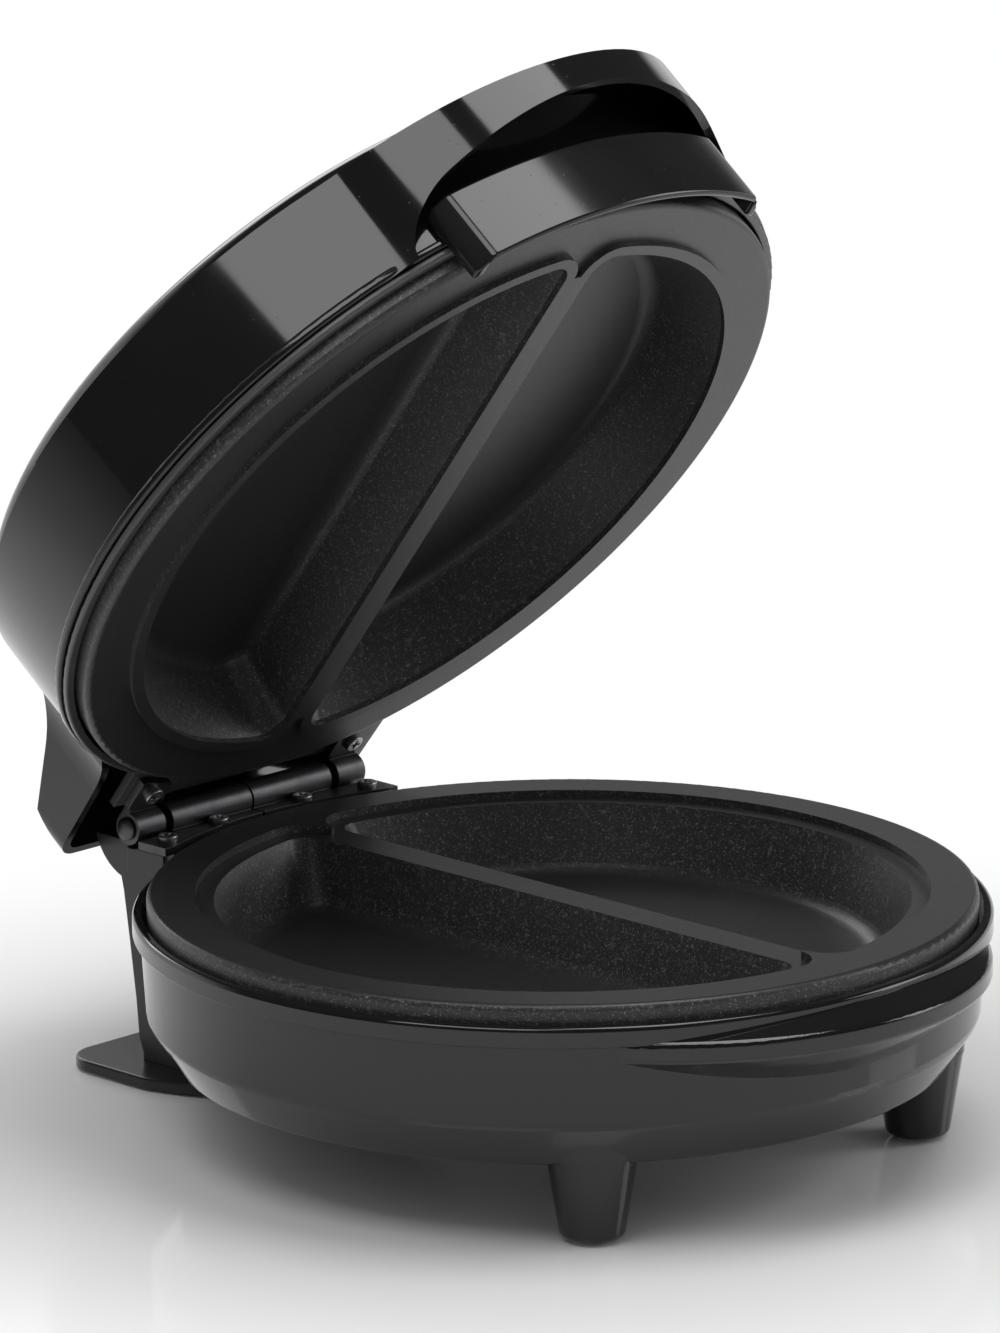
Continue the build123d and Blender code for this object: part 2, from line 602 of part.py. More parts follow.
def thermostat():
    """Disc thermostat with two fixing ears, against the block under the divider."""
    low = LOWER_PAN_Z - THERMOSTAT_H
    body = upright(THERMOSTAT_R, low, LOWER_PAN_Z)
    ears = Pos(0, 0, LOWER_PAN_Z - THERMOSTAT_EAR_T / 2) * Box(
        THERMOSTAT_EAR, THERMOSTAT_EAR_W, THERMOSTAT_EAR_T)
    tab = Pos(0, THERMOSTAT_R - TAB_IN, low - TAB_L / 2) * Box(TAB_W, TAB_T, TAB_L)
    return body + ears + tab


def thermal_fuse():
    """Thermal fuse in its ceramic saddle on the centre block of the upper plate."""
    base = Pos(0, 0, UPPER_PAN_Z + FUSE_BASE_T / 2) * Box(
        2 * (FUSE_R + FUSE_BASE_OVER), FUSE_L, FUSE_BASE_T)
    return base + along_y(FUSE_R, -FUSE_L / 2, FUSE_L / 2, 0, UPPER_PAN_Z + FUSE_R)


# ---------------------------------------------------------------- base
def base_envelope():
    """Outside of the round base, without ledge or feet."""
    return turned(
        (0, FOOT_H), (BASE_FLOOR_R, FOOT_H, FLOOR_EDGE_R), (CONE_R, CONE_Z, CONE_EDGE_R),
        (WALL_R, RIM_BOTTOM_Z), (RIM_R, RIM_BOTTOM_Z, RIM_LOWER_EDGE_R),
        (RIM_R, RIM_TOP_Z, RIM_UPPER_EDGE_R), (0, RIM_TOP_Z))


def ledge():
    """Front crescent: a sloping top, a thin lip and a corbelled underside."""
    inner_r = LEDGE_R - LEDGE_DEPTH
    lip_bottom = LEDGE_LIP_Z - LEDGE_LIP_H
    solid = turned(
        (inner_r, lip_bottom - LEDGE_UNDER_SLOPE * LEDGE_DEPTH),
        (LEDGE_R, lip_bottom, LEDGE_EDGE_R), (LEDGE_R, LEDGE_LIP_Z, LEDGE_EDGE_R),
        (inner_r, LEDGE_LIP_Z + LEDGE_TOP_SLOPE * LEDGE_DEPTH),
        centre_y=LEDGE_Y)
    return solid - upright(WALL_R - WALL / 2, 0, 2 * ABOVE)


def ledge_root():
    """The crescent's underside carried on to the wall below the rim."""
    inner_r = LEDGE_R - LEDGE_DEPTH
    lip_bottom = LEDGE_LIP_Z - LEDGE_LIP_H
    solid = turned(
        (inner_r, lip_bottom - LEDGE_UNDER_SLOPE * LEDGE_DEPTH),
        (LEDGE_R, lip_bottom), (LEDGE_R, RIM_BOTTOM_Z - 1), (inner_r, RIM_BOTTOM_Z - 1),
        centre_y=LEDGE_Y)
    solid &= upright(LEDGE_R - LEDGE_EDGE_R, 0, 2 * ABOVE, 0, LEDGE_Y)
    return solid - upright(WALL_R - WALL / 2, 0, 2 * ABOVE)


def front_foot():
    """One tapered front foot, the right one, with a recess for its pad."""
    body = Pos(FOOT_X, FOOT_Y, PAD_PROUD) * Cone(
        FOOT_BOTTOM_R, FOOT_TOP_R, FLOOR_Z - PAD_PROUD,
        align=(Align.CENTER, Align.CENTER, Align.MIN))
    body = fillet(body.edges().group_by(Axis.Z)[0], FOOT_FILLET)
    return body - upright(PAD_R, 0, PAD_T, FOOT_X, FOOT_Y)


def base_housing():
    """Round gloss moulding with rim, ledge and front feet."""
    body = base_envelope() + ledge() + ledge_root()
    body -= turned(
        (0, FLOOR_Z), (BASE_FLOOR_R - WALL, FLOOR_Z), (CONE_R - WALL, CONE_Z),
        (WALL_R - WALL, SEAT_Z), (RIM_INNER_R, SEAT_Z), (RIM_INNER_R, RIM_TOP_Z), (0, RIM_TOP_Z))
    body += front_foot() + mirror(front_foot(), Plane.YZ)
    for x, y in around(LEG_R, LEG_ANGLES):
        body += upright(POST_R, FLOOR_Z - 1, POST_TOP_Z, x, y)
        body -= upright(SCREW_R + HOLE_CLEAR, 0, POST_TOP_Z, x, y)
        body -= upright(HEAD_R + HOLE_CLEAR, 0, FOOT_H + COUNTERBORE, x, y)
    for row in range(VENT_ROWS):
        vent_y = (row - (VENT_ROWS - 1) / 2) * VENT_PITCH
        for side in (1, -1):
            slot = Pos(side * VENT_X, vent_y) * SlotOverall(VENT_L, VENT_W)
            body -= extrude(Pos(0, 0, FOOT_H) * slot, amount=WALL)
    for x, z in column_screw_places():
        seat_y = column_seat_y(x)
        body -= along_y(SCREW_R + HOLE_CLEAR, seat_y, HINGE_Y, x, z)
        body -= along_y(HEAD_R + 2 * HOLE_CLEAR, BLOCK_Y, seat_y, x, z)
    return body - along_y(BUSH_BORE_R, BLOCK_Y, HINGE_Y, 0, BUSH_Z)


def front_foot_pads():
    """Two pale pads pressed into the front feet."""
    return both_sides(upright(PAD_R, 0, PAD_T, FOOT_X, FOOT_Y))


def lower_plate_screws():
    """Screws from below through base and shield into the lower plate's legs."""
    seat = FOOT_H + COUNTERBORE
    length = LEG_BOTTOM_Z + LEG_SCREW_GRIP - seat
    return group(Pos(x, y, seat) * screw(length) for x, y in around(LEG_R, LEG_ANGLES))


def terminal_block():
    """Terminal block on the floor of the base, with its three screws sunk in."""
    top = FLOOR_Z + BLOCK_H
    block = Pos(0, BLOCK_Y, top - BLOCK_H / 2) * Box(BLOCK_L, BLOCK_W, BLOCK_H)
    block = fillet(block.edges().filter_by(Axis.Z), BLOCK_EDGE_R)
    for x in (-BLOCK_PITCH, 0, BLOCK_PITCH):
        block -= upright(BLOCK_HOLE_R, top - BLOCK_HOLE_DEPTH, top, x, BLOCK_Y - BLOCK_ROW)
    return block


def base_wiring():
    """Leads from the terminal block to both element ends and the thermostat."""
    block_top = FLOOR_Z + BLOCK_H
    level = LOWER_PAN_Z - TUBE_R
    start, heading = element_end()
    pin_end = start + heading * (ELEMENT_TAIL + TERMINAL_L)
    bend = pin_end + heading * 2 * WIRE_BEND_R
    end_y = BLOCK_Y + BLOCK_ROW
    wires = []
    for side in (1, -1):
        wires.append(wire([
            (side * pin_end.X, pin_end.Y, level), (side * bend.X, bend.Y, level),
            (side * bend.X, end_y, level), (side * bend.X, end_y, block_top)]))
    tab_z = LOWER_PAN_Z - THERMOSTAT_H + WIRE_R
    wires.append(wire([(0, THERMOSTAT_R + HOLE_CLEAR, tab_z), (0, SHIELD_CUT_Y, tab_z),
                       (0, end_y, tab_z + WIRE_BEND_R), (0, end_y, block_top)]))
    return group(wires)


def wire(points):
    """Insulated lead along straight runs joined by arcs."""
    route = FilletPolyline(*points, radius=WIRE_BEND_R)
    return sweep(Plane(origin=route @ 0, z_dir=route % 0) * Circle(WIRE_R), path=route)


# ---------------------------------------------------------------- rear column and foot
def column_screw_places():
    """Screws that hold the column to the base, as (x, z)."""
    return [(side * COLUMN_SCREW_X, HINGE_Z - drop) for side in (-1, 1)
            for drop in COLUMN_SCREW_DROPS]


def column_seat_y(x):
    """Where the heads of those screws bear on the inside of the base."""
    return chord_y(CONE_R - WALL, x) - COLUMN_SEAT_CUT


def column_profile(shrink=0.0):
    """Side view of the column, or of its hollow when shrunk by a wall."""
    rear_y = HINGE_Y - shrink
    top = COLUMN_TOP_Z if shrink == 0 else COLUMN_TOP_Z - COLUMN_ROOF
    knee_y = rear_y + chord_y(COLUMN_ARC_R, COLUMN_KNEE_DROP)
    toe = [(rear_y + back, FLANGE_TOP_Z + shrink + rise) for back, rise in COLUMN_TOE]
    back = [(rear_y + back, HINGE_Z - drop, radius) for back, drop, radius in COLUMN_BACK]
    return outline(
        (COLUMN_FRONT_Y, FLANGE_TOP_Z + shrink), *toe, *back, (knee_y, HINGE_Z - COLUMN_KNEE_DROP),
        (knee_y, top), (COLUMN_FRONT_Y, top))


def rear_column():
    """Satin moulding behind the base that carries the hinge."""
    body = side_profile(column_profile(), COLUMN_HALF_W)
    knob = along_x(COLUMN_ARC_R, -COLUMN_HALF_W, COLUMN_HALF_W, HINGE_Y, HINGE_Z)
    knob -= box_between((-WIDE, 0, COLUMN_REAR_TOP_Z), (WIDE, WIDE, 2 * ABOVE))
    knob -= box_between((-WIDE, 0, 0), (WIDE, HINGE_Y, 2 * ABOVE))
    pad_w = COLUMN_HALF_W + COLUMN_PAD_T
    pad = box_between((-pad_w, HINGE_Y - COLUMN_PAD_FRONT, HINGE_Z - COLUMN_PAD_LOW),
                      (pad_w, HINGE_Y + COLUMN_PAD_REAR, HINGE_Z - COLUMN_PAD_TOP))
    body += knob + pad
    body -= along_x(BARREL_R + TROUGH_CLEAR, -WIDE / 2, WIDE / 2, HINGE_Y, HINGE_Z)
    body -= side_profile(column_profile(COLUMN_WALL), COLUMN_HALF_W - COLUMN_WALL)
    for x, z in column_screw_places():
        body += along_y(POST_R, COLUMN_FRONT_Y, HINGE_Y + COLUMN_POST_REAR, x, z)
        body -= along_y(SCREW_R, COLUMN_FRONT_Y, HINGE_Y - COLUMN_HOLE_AHEAD, x, z)
    for x in (-FLANGE_SCREW_X, FLANGE_SCREW_X):
        body += upright(POST_R, FLANGE_TOP_Z, FLANGE_TOP_Z + FLANGE_POST_H, x, FLANGE_SCREW_Y)
        body -= upright(SCREW_R, FLANGE_TOP_Z, FLANGE_TOP_Z + FLANGE_HOLE_DEPTH, x, FLANGE_SCREW_Y)
    for x, y in leaf_screw_places():
        body -= upright(SCREW_R, COLUMN_TOP_Z - LEAF_HOLE_DEPTH, COLUMN_TOP_Z, x, y)
        body -= upright(SCREW_R, COLUMN_TOP_Z - LEAF_HOLE_DEPTH, COLUMN_TOP_Z, -x, y)
    body -= upright(RIM_R, RIM_BOTTOM_Z - COLUMN_RIM_RELIEF, 2 * ABOVE)
    body -= base_envelope() + upright(BASE_FLOOR_R, FOOT_H, FOOT_H + CONE_EDGE_R)
    behind = BUSH_SEAT_Y + BUSH_FLANGE_R
    body -= along_y(BUSH_FLANGE_R + HOLE_CLEAR, BUSH_SEAT_Y, behind, 0, BUSH_Z)
    return body - along_y(BUSH_R, BUSH_SEAT_Y - 2 * BUSH_NECK, behind, 0, BUSH_Z)


def rear_foot():
    """Thin foot under the column; the gap above it takes the wound-up cord."""
    waist_y = (FLANGE_FRONT_Y + FLANGE_REAR_Y) / 2
    neck_w = FLANGE_HALF_W - FLANGE_WAIST_IN
    neck_y = waist_y - FLANGE_WAIST_L
    waist_r, neck_r, front_r = FLANGE_WAIST_RADII
    right = [(FLANGE_FRONT_HALF_W, FLANGE_FRONT_Y, front_r), (neck_w, neck_y, neck_r),
             (FLANGE_HALF_W, waist_y, waist_r), (FLANGE_HALF_W, FLANGE_REAR_Y, FLANGE_CORNER_R)]
    left = [(-x, y, radius) for x, y, radius in reversed(right)]
    body = extrude(Pos(0, 0, PAD_PROUD) * outline(*right, *left), amount=FLANGE_T)
    body = fillet(body.edges().group_by(Axis.Z)[-1], FLANGE_EDGE_R)
    for x, y in rear_pad_places():
        body -= upright(PAD_R, 0, PAD_T, x, y)
    head_top = PAD_PROUD + LEAF_HEAD_H
    for x in (-FLANGE_SCREW_X, FLANGE_SCREW_X):
        body -= upright(SCREW_R + HOLE_CLEAR, 0, ABOVE, x, FLANGE_SCREW_Y)
        body -= upright(LEAF_HEAD_R + HOLE_CLEAR, 0, head_top, x, FLANGE_SCREW_Y)
    return body


def rear_pad_places():
    """Pads of the rear foot, as (x, y)."""
    reach = FLANGE_HALF_W - REAR_PAD_IN_X
    return [(side * reach, FLANGE_REAR_Y - REAR_PAD_IN_Y) for side in (-1, 1)]


def rear_foot_pads():
    """Two pads pressed into the rear foot."""
    return group(upright(PAD_R, 0, PAD_T, x, y) for x, y in rear_pad_places())


def rear_foot_screws():
    """Screws from below through the rear foot into the column."""
    seat = PAD_PROUD + LEAF_HEAD_H
    fastener = screw(FLANGE_SCREW_L, SCREW_R, LEAF_HEAD_R, LEAF_HEAD_H)
    return both_sides(Pos(FLANGE_SCREW_X, FLANGE_SCREW_Y, seat) * fastener)


def column_screws():
    """Screws from inside the base into the column."""
    return group(
        Pos(x, column_seat_y(x), z) * Rot(-90, 0, 0) * screw(COLUMN_SCREW_L)
        for x, z in column_screw_places())


def cord_inlet_bush():
    """Flanged bush in the column's rear face, where the supply cord goes in."""
    front_y = BUSH_SEAT_Y - BUSH_NECK
    rear_y = BUSH_SEAT_Y + BUSH_FLANGE_T
    body = along_y(BUSH_R, front_y, BUSH_SEAT_Y, 0, BUSH_Z)
    body += along_y(BUSH_FLANGE_R, BUSH_SEAT_Y, rear_y, 0, BUSH_Z)
    return body - along_y(BUSH_BORE_R, front_y - 1, rear_y + 1, 0, BUSH_Z)


# ---------------------------------------------------------------- hinge
def leaf_screw_places():
    """Screws of the right base leaf, as (x, y)."""
    return [(LEAF_SCREW_X, LEAF_SCREW_Y), (INNER_SCREW_X, INNER_SCREW_Y)]


def base_hinge_leaf():
    """Right half of the fixed hinge: barrel, with a leaf forward over the column."""
    low = HINGE_Z - BARREL_R
    top = low + LEAF_T
    body = along_x(BARREL_R, BARREL_SEAM, BARREL_HALF, HINGE_Y, HINGE_Z)
    body += box_between((BARREL_SEAM, LEAF_FRONT_Y - LEAF_LAP, low), (BARREL_HALF, HINGE_Y, top))
    body += box_between((BARREL_SEAM, LEAF_SCREW_Y - LEAF_LAND, low),
                        (KNUCKLE_END + LEAF_OVER, LEAF_FRONT_Y, top))
    body -= upright(RIM_R, 0, 3 * ABOVE)
    for x, y in leaf_screw_places():
        body -= upright(SCREW_R + HOLE_CLEAR, 0, 3 * ABOVE, x, y)
    return body - along_x(PIN_R, -WIDE, WIDE, HINGE_Y, HINGE_Z)


def lid_hinge_leaf():
    """Right lid ear: knuckle, with a leaf forward under the lid's tongue."""
    top = HINGE_Z + BARREL_R
    low = top - LEAF_T
    body = along_x(BARREL_R, KNUCKLE_START, KNUCKLE_END, HINGE_Y, HINGE_Z)
    body += box_between((KNUCKLE_START, LEAF_FRONT_Y - LEAF_LAP, low), (KNUCKLE_END, HINGE_Y, top))
    body += box_between((KNUCKLE_START - LEAF_OVER, LEAF_SCREW_Y - LEAF_LAND, low),
                        (KNUCKLE_END + LEAF_OVER, LEAF_FRONT_Y, top))
    body -= upright(LID_R + LEAF_LID_CLEAR, 0, 3 * ABOVE)
    body -= upright(SCREW_R + HOLE_CLEAR, 0, 3 * ABOVE, LEAF_SCREW_X, LEAF_SCREW_Y)
    return body - along_x(PIN_R + PIN_RUN, -WIDE, WIDE, HINGE_Y, HINGE_Z)


def hinge_pin():
    """Pin through both barrels, with upset heads outside the lid knuckles."""
    end = KNUCKLE_END + PIN_END_CLEAR
    pin = along_x(PIN_R, -end, end, HINGE_Y, HINGE_Z)
    head = along_x(PIN_R + PIN_HEAD_OVER, end, end + PIN_HEAD_T, HINGE_Y, HINGE_Z)
    return pin + head + mirror(head, Plane.YZ)


def base_hinge_screws():
    """Screws down through the fixed leaves into the column."""
    top = HINGE_Z - BARREL_R + LEAF_T
    fastener = Rot(180, 0, 0) * screw(LEAF_T + LEAF_SCREW_GRIP, SCREW_R, LEAF_HEAD_R, LEAF_HEAD_H)
    places = [(side * x, y) for x, y in leaf_screw_places() for side in (1, -1)]
    return group(Pos(x, y, top) * fastener for x, y in places)


def lid_hinge_screws():
    """Screws up through the lid leaves and the frame's tongue into the shell."""
    bottom = HINGE_Z + BARREL_R - LEAF_T
    length = LEAF_T + TONGUE_T + TONGUE_SCREW_GRIP
    fastener = screw(length, SCREW_R, LEAF_HEAD_R, LEAF_HEAD_H)
    return both_sides(Pos(LEAF_SCREW_X, LEAF_SCREW_Y, bottom) * fastener)


# ---------------------------------------------------------------- lid
def hood_plan(inset=0.0):
    """Plan of the lid wall with the rear hood blended into it."""
    rear_x = HOOD_HALF_W - inset
    root_x = rear_x + HOOD_FLARE
    rear_y = HOOD_REAR_Y - inset
    corner_r = HOOD_CORNER_R - inset
    hood = outline((root_x, LID_R / 2), (rear_x, rear_y, corner_r),
                   (-rear_x, rear_y, corner_r), (-root_x, LID_R / 2))
    plan = Circle(LID_R - inset) + hood
    joints = [v for v in plan.vertices() if LID_R / 2 < v.Y < HOOD_REAR_Y - 2 * HOOD_CORNER_R]
    return fillet(joints, HOOD_BLEND_R + inset)


def hood_cap(inset):
    """Space under the lid's top in its rear half, where it falls towards the hood."""
    drop = SLOPE_SKIN * inset
    fall = outline(
        (0, BEAD_Z - 1), (HOOD_EDGE_R, BEAD_Z - 1),
        (HOOD_EDGE_R, PLATE_FACE_Z + HOOD_EDGE_RISE - drop),
        (HOOD_KNEE_R, PLATE_FACE_Z + HOOD_KNEE_RISE - drop, HOOD_KNEE_BLEND_R),
        (LID_R, PLATE_FACE_Z + HOOD_ROOT_RISE - drop), (0, PLATE_FACE_Z + HOOD_ROOT_RISE - drop))
    cap = revolve(Plane.XZ * (fall + round_section(inset, BEAD_Z - 1)), Axis.Z)
    slope = HOOD_BREAK_IN / (HOOD_BREAK_RISE - HOOD_BOTTOM_RISE)
    foot_y = HOOD_REAR_Y - inset + slope * HOOD_BOTTOM_RISE
    lean = outline((0, PLATE_FACE_Z), (foot_y, PLATE_FACE_Z),
                   (foot_y - slope * ABOVE, PLATE_FACE_Z + ABOVE), (0, PLATE_FACE_Z + ABOVE))
    return cap & side_profile(lean, WIDE)


def round_section(inset, bottom):
    """Half section of the round lid, drawn in by a wall for its hollow."""
    return outline((0, bottom), (LID_R - inset, bottom),
                   (LID_R - inset, SHOULDER_Z - inset, LID_EDGE_R - inset), (0, CROWN_Z - inset))


def visor_plan(inset=0.0):
    """Plan of the lid wall with the front visor blended into it by two concave arcs."""
    visor_y = VISOR_FRONT_Y + VISOR_R
    from_lid = LID_R + VISOR_BLEND_R
    from_visor = VISOR_R + VISOR_BLEND_R
    blend_y = (from_lid ** 2 - from_visor ** 2 + visor_y ** 2) / (2 * visor_y)
    blend_x = chord_y(from_lid, blend_y)
    plan = Circle(LID_R - inset) + Pos(0, visor_y) * Circle(VISOR_R - inset)
    for side in (1, -1):
        web = outline((0, 0), (0, visor_y), (side * blend_x, blend_y))
        plan += web - Pos(side * blend_x, blend_y) * Circle(VISOR_BLEND_R + inset)
    return plan


def visor_cap(inset):
    """Space under the lid's top in its front half, where it falls towards the visor's lip."""
    drop = SLOPE_SKIN * inset
    lip_r = -VISOR_FRONT_Y
    lip_z = PLATE_FACE_Z + VISOR_LIP_RISE - drop
    root_z = lip_z + (lip_r - LID_R) * VISOR_SLOPE
    far_z = lip_z - (WIDE - lip_r) * VISOR_SLOPE
    fall = outline((0, BEAD_Z - 1), (WIDE, BEAD_Z - 1), (WIDE, max(far_z, BEAD_Z)),
                   (LID_R, root_z), (0, root_z))
    return revolve(Plane.XZ * (fall + round_section(inset, BEAD_Z - 1)), Axis.Z)


def arch_tool():
    """Space under the visor's arched lower edge."""
    foot_z = PLATE_FACE_Z + ARCH_FOOT_RISE
    knee = (ARCH_KNEE_X, PLATE_FACE_Z + ARCH_KNEE_RISE)
    crown = ThreePointArc((-knee[0], knee[1]), (0, PLATE_FACE_Z + ARCH_TOP_RISE), knee)
    right = TangentArc(knee, (ARCH_HALF_W, foot_z), tangent=crown % 1)
    left = mirror(right, Plane.YZ)
    deep_z = foot_z - ABOVE / 2
    foot = Polyline((-ARCH_HALF_W, foot_z), (-ARCH_HALF_W, deep_z), (ARCH_HALF_W, deep_z),
                    (ARCH_HALF_W, foot_z))
    face = Plane.XZ * make_face(crown + right + left + foot)
    return extrude(face, WIDE, dir=(0, -1, 0)) - upright(LID_R, 0, 3 * ABOVE)


def rear_half(plan, bottom, inset):
    """Solid with a given plan under the hood's cap, behind the plate axis."""
    block = extrude(Pos(0, 0, bottom) * plan, ABOVE, dir=(0, 0, 1))
    block -= box_between((-WIDE, -WIDE, 0), (WIDE, 0, 3 * ABOVE))
    return block & hood_cap(inset)


def front_half(plan, bottom, inset):
    """Solid with a given plan under the visor's cap, in front of the plate axis."""
    block = extrude(Pos(0, 0, bottom) * plan, ABOVE, dir=(0, 0, 1)) & visor_cap(inset)
    return block - box_between((-WIDE, 0, 0), (WIDE, WIDE, 3 * ABOVE))


def bead():
    """Bright bead round the lower edge of the lid's wall."""
    top = BEAD_Z + BEAD_H
    ring = turned(
        (LID_R - WALL / 2, BEAD_Z), (LID_R + BEAD_PROUD, BEAD_Z, BEAD_EDGE_R),
        (LID_R + BEAD_PROUD, top, BEAD_EDGE_R), (LID_R - WALL / 2, top + BEAD_SLOPE))
    return ring - box_between((-HOOD_HALF_W, 0, 0), (HOOD_HALF_W, WIDE, 3 * ABOVE))


def shell_hollow():
    """Round space inside the lid shell, wider below where the frame stands in it."""
    return turned(
        (0, BEAD_Z - 1), (FRAME_OUTER_R, BEAD_Z - 1), (FRAME_OUTER_R, SHELF_TOP_Z),
        (LID_INNER_R, SHELF_TOP_Z), (LID_INNER_R, SHOULDER_Z - WALL, LID_EDGE_R - WALL),
        (0, CROWN_Z - WALL))


def lid_shell():
    """Tall gloss moulding with a rear hood and a front visor."""
    hood_z = PLATE_FACE_Z + HOOD_BOTTOM_RISE
    under_hood = upright(WIDE, 0, hood_z) - upright(LID_R, 0, hood_z)
    body = front_half(visor_plan(), BEAD_Z, 0.0) - arch_tool()
    body += rear_half(hood_plan(), BEAD_Z, 0.0)
    body += bead()
    body -= under_hood - box_between((-WIDE, -WIDE, 0), (WIDE, LID_R / 2, hood_z))
    body -= shell_hollow()
    body -= rear_half(hood_plan(WALL), BEAD_Z - 1, WALL)
    body -= front_half(visor_plan(VISOR_WALL) - Circle(LID_R), BEAD_Z - 1, VISOR_WALL)
    body += shell_bosses()
    for hole in shell_holes():
        body -= hole
        body -= mirror(hole, Plane.YZ)
    return body


def shell_bosses():
    """Screw bosses inside the lid shell, for the hinge and the lamp board."""
    bosses = upright(HOOD_BOSS_R, TONGUE_TOP_Z, HOOD_TOP_Z, LEAF_SCREW_X, LEAF_SCREW_Y)
    bosses &= hood_cap(WALL / 2)
    board_x = BOARD_L / 2 - BOARD_POST_R
    bosses += upright(BOARD_POST_R, BOARD_Z + BOARD_T, CROWN_Z - WALL, board_x, LAMP_Y)
    return bosses + mirror(bosses, Plane.YZ)


def shell_holes():
    """Right-hand holes of the lid shell: hinge screw, lamp lens and handle screw."""
    hinge_top = TONGUE_TOP_Z + HOOD_HOLE_DEPTH
    hinge = upright(SCREW_R, 0, hinge_top, LEAF_SCREW_X, LEAF_SCREW_Y)
    lens = upright(LENS_R, BOARD_Z + BOARD_T, 3 * ABOVE, LAMP_X, LAMP_Y)
    handle_r = BAND_SCREW_R + HOLE_CLEAR / 2
    handle = along_y(handle_r, -BAND_R, -LID_R / 2, BAND_POST_X, BAND_POST_Z)
    return hinge, lens, handle


def lid_frame():
    """Inner frame: grey lip under the shell, shelf for the upper plate, rear tongue."""
    body = turned(
        (FRAME_INNER_R, LIP_Z), (LID_R, LIP_Z, LIP_EDGE_R), (LID_R, LIP_Z + LIP_H, LIP_TOP_EDGE_R),
        (FRAME_OUTER_R, LIP_Z + LIP_H), (FRAME_OUTER_R, SHELF_TOP_Z), (FRAME_SHELF_R, SHELF_TOP_Z),
        (FRAME_SHELF_R, SHELF_Z), (FRAME_INNER_R, SHELF_Z))
    tongue = box_between((-TONGUE_HALF_W, PLATE_R / 2, TONGUE_Z),
                         (TONGUE_HALF_W, TONGUE_REAR_Y, TONGUE_TOP_Z))
    body += tongue - upright(FRAME_INNER_R, 0, 3 * ABOVE)
    for side in (1, -1):
        body -= upright(SCREW_R + HOLE_CLEAR, TONGUE_Z, TONGUE_TOP_Z, side * LEAF_SCREW_X, LEAF_SCREW_Y)
        notch_r = BAND_HEAD_R + BAND_HEAD_CLEAR
        body -= along_y(notch_r, -LID_R, -LID_R / 2, side * BAND_POST_X, BAND_POST_Z)
    for x, y in around(LUG_R, LUG_ANGLES):
        body -= upright(SCREW_R + HOLE_CLEAR, 0, 3 * ABOVE, x, y)
    return body


def upper_plate_screws():
    """Screws down through shield brim and frame shelf into the upper plate's lugs."""
    seat = SHELF_TOP_Z + SHIELD_T
    fastener = Rot(180, 0, 0) * screw(SHIELD_T + FRAME_SHELF_T + LUG_SCREW_GRIP)
    return group(Pos(x, y, seat) * fastener for x, y in around(LUG_R, LUG_ANGLES))


def handle_band():
    """Curved lifting band under the visor, hollow from below and behind."""
    body = upright(BAND_R, BAND_BOTTOM_Z, BAND_TOP_Z)
    body -= upright(BAND_INNER_R, BAND_BOTTOM_Z, BAND_TOP_Z)
    body &= box_between((-BAND_HALF_W, -WIDE, 0), (BAND_HALF_W, -LID_R / 2, 3 * ABOVE))
    end_y = -chord_y(BAND_R, BAND_HALF_W) + 1
    body = chamfer([e for e in body.edges().filter_by(Axis.Z) if e.center().Y < end_y], BAND_END_CHAMFER)
    top_edges = body.edges().group_by(Axis.Z)[-1]
    body = fillet([e for e in top_edges if e.center().Y < -BAND_INNER_R - 1], BAND_EDGE_R)
    hollow = upright(BAND_R - BAND_WALL, BAND_BOTTOM_Z, BAND_TOP_Z - BAND_WALL)
    hollow -= upright(BAND_INNER_R - 1, 0, 3 * ABOVE)
    inner_half = BAND_HALF_W - BAND_END_CHAMFER
    body -= hollow & box_between((-inner_half, -WIDE, 0), (inner_half, -LID_R / 2, 3 * ABOVE))
    root_y = BAND_POST_ROOT - BAND_R
    for side in (1, -1):
        x = side * BAND_POST_X
        post = along_y(BAND_POST_R, root_y, -LID_R / 2, x, BAND_POST_Z)
        body += (post & upright(-root_y, 0, 3 * ABOVE)) - upright(LID_R, 0, 3 * ABOVE)
        body -= along_y(BAND_SCREW_R, BAND_HOLE_END - BAND_R, -LID_R / 2, x, BAND_POST_Z)
    return body


def handle_screws():
    """Screws from inside the lid wall into the posts of the handle band."""
    seat_y = BAND_SEAT - chord_y(FRAME_OUTER_R, BAND_POST_X)
    fastener = Rot(90, 0, 0) * screw(BAND_SCREW_L, BAND_SCREW_R, BAND_HEAD_R, LEAF_HEAD_H)
    return both_sides(Pos(BAND_POST_X, seat_y, BAND_POST_Z) * fastener)


def lamp_lens(side):
    """Domed indicator lens on the lid's top."""
    top = CROWN_Z - LENS_DROP
    flange_z = top - WALL - LENS_SEAT_GAP
    low = flange_z - LENS_FLANGE_T
    body = upright(LENS_R, flange_z, top, side * LAMP_X, LAMP_Y)
    body += upright(LENS_R + LENS_FLANGE, low, flange_z, side * LAMP_X, LAMP_Y)
    return fillet(body.edges().group_by(Axis.Z)[-1], LENS_EDGE_R)


def lamp_board():
    """Small board with the two indicator lamps standing on it."""
    board = Pos(0, LAMP_Y, BOARD_Z + BOARD_T / 2) * Box(BOARD_L, BOARD_W, BOARD_T)
    for side in (1, -1):
        board += upright(LAMP_R, BOARD_Z, BOARD_Z + BOARD_T + LAMP_H, side * LAMP_X, LAMP_Y)
    return board


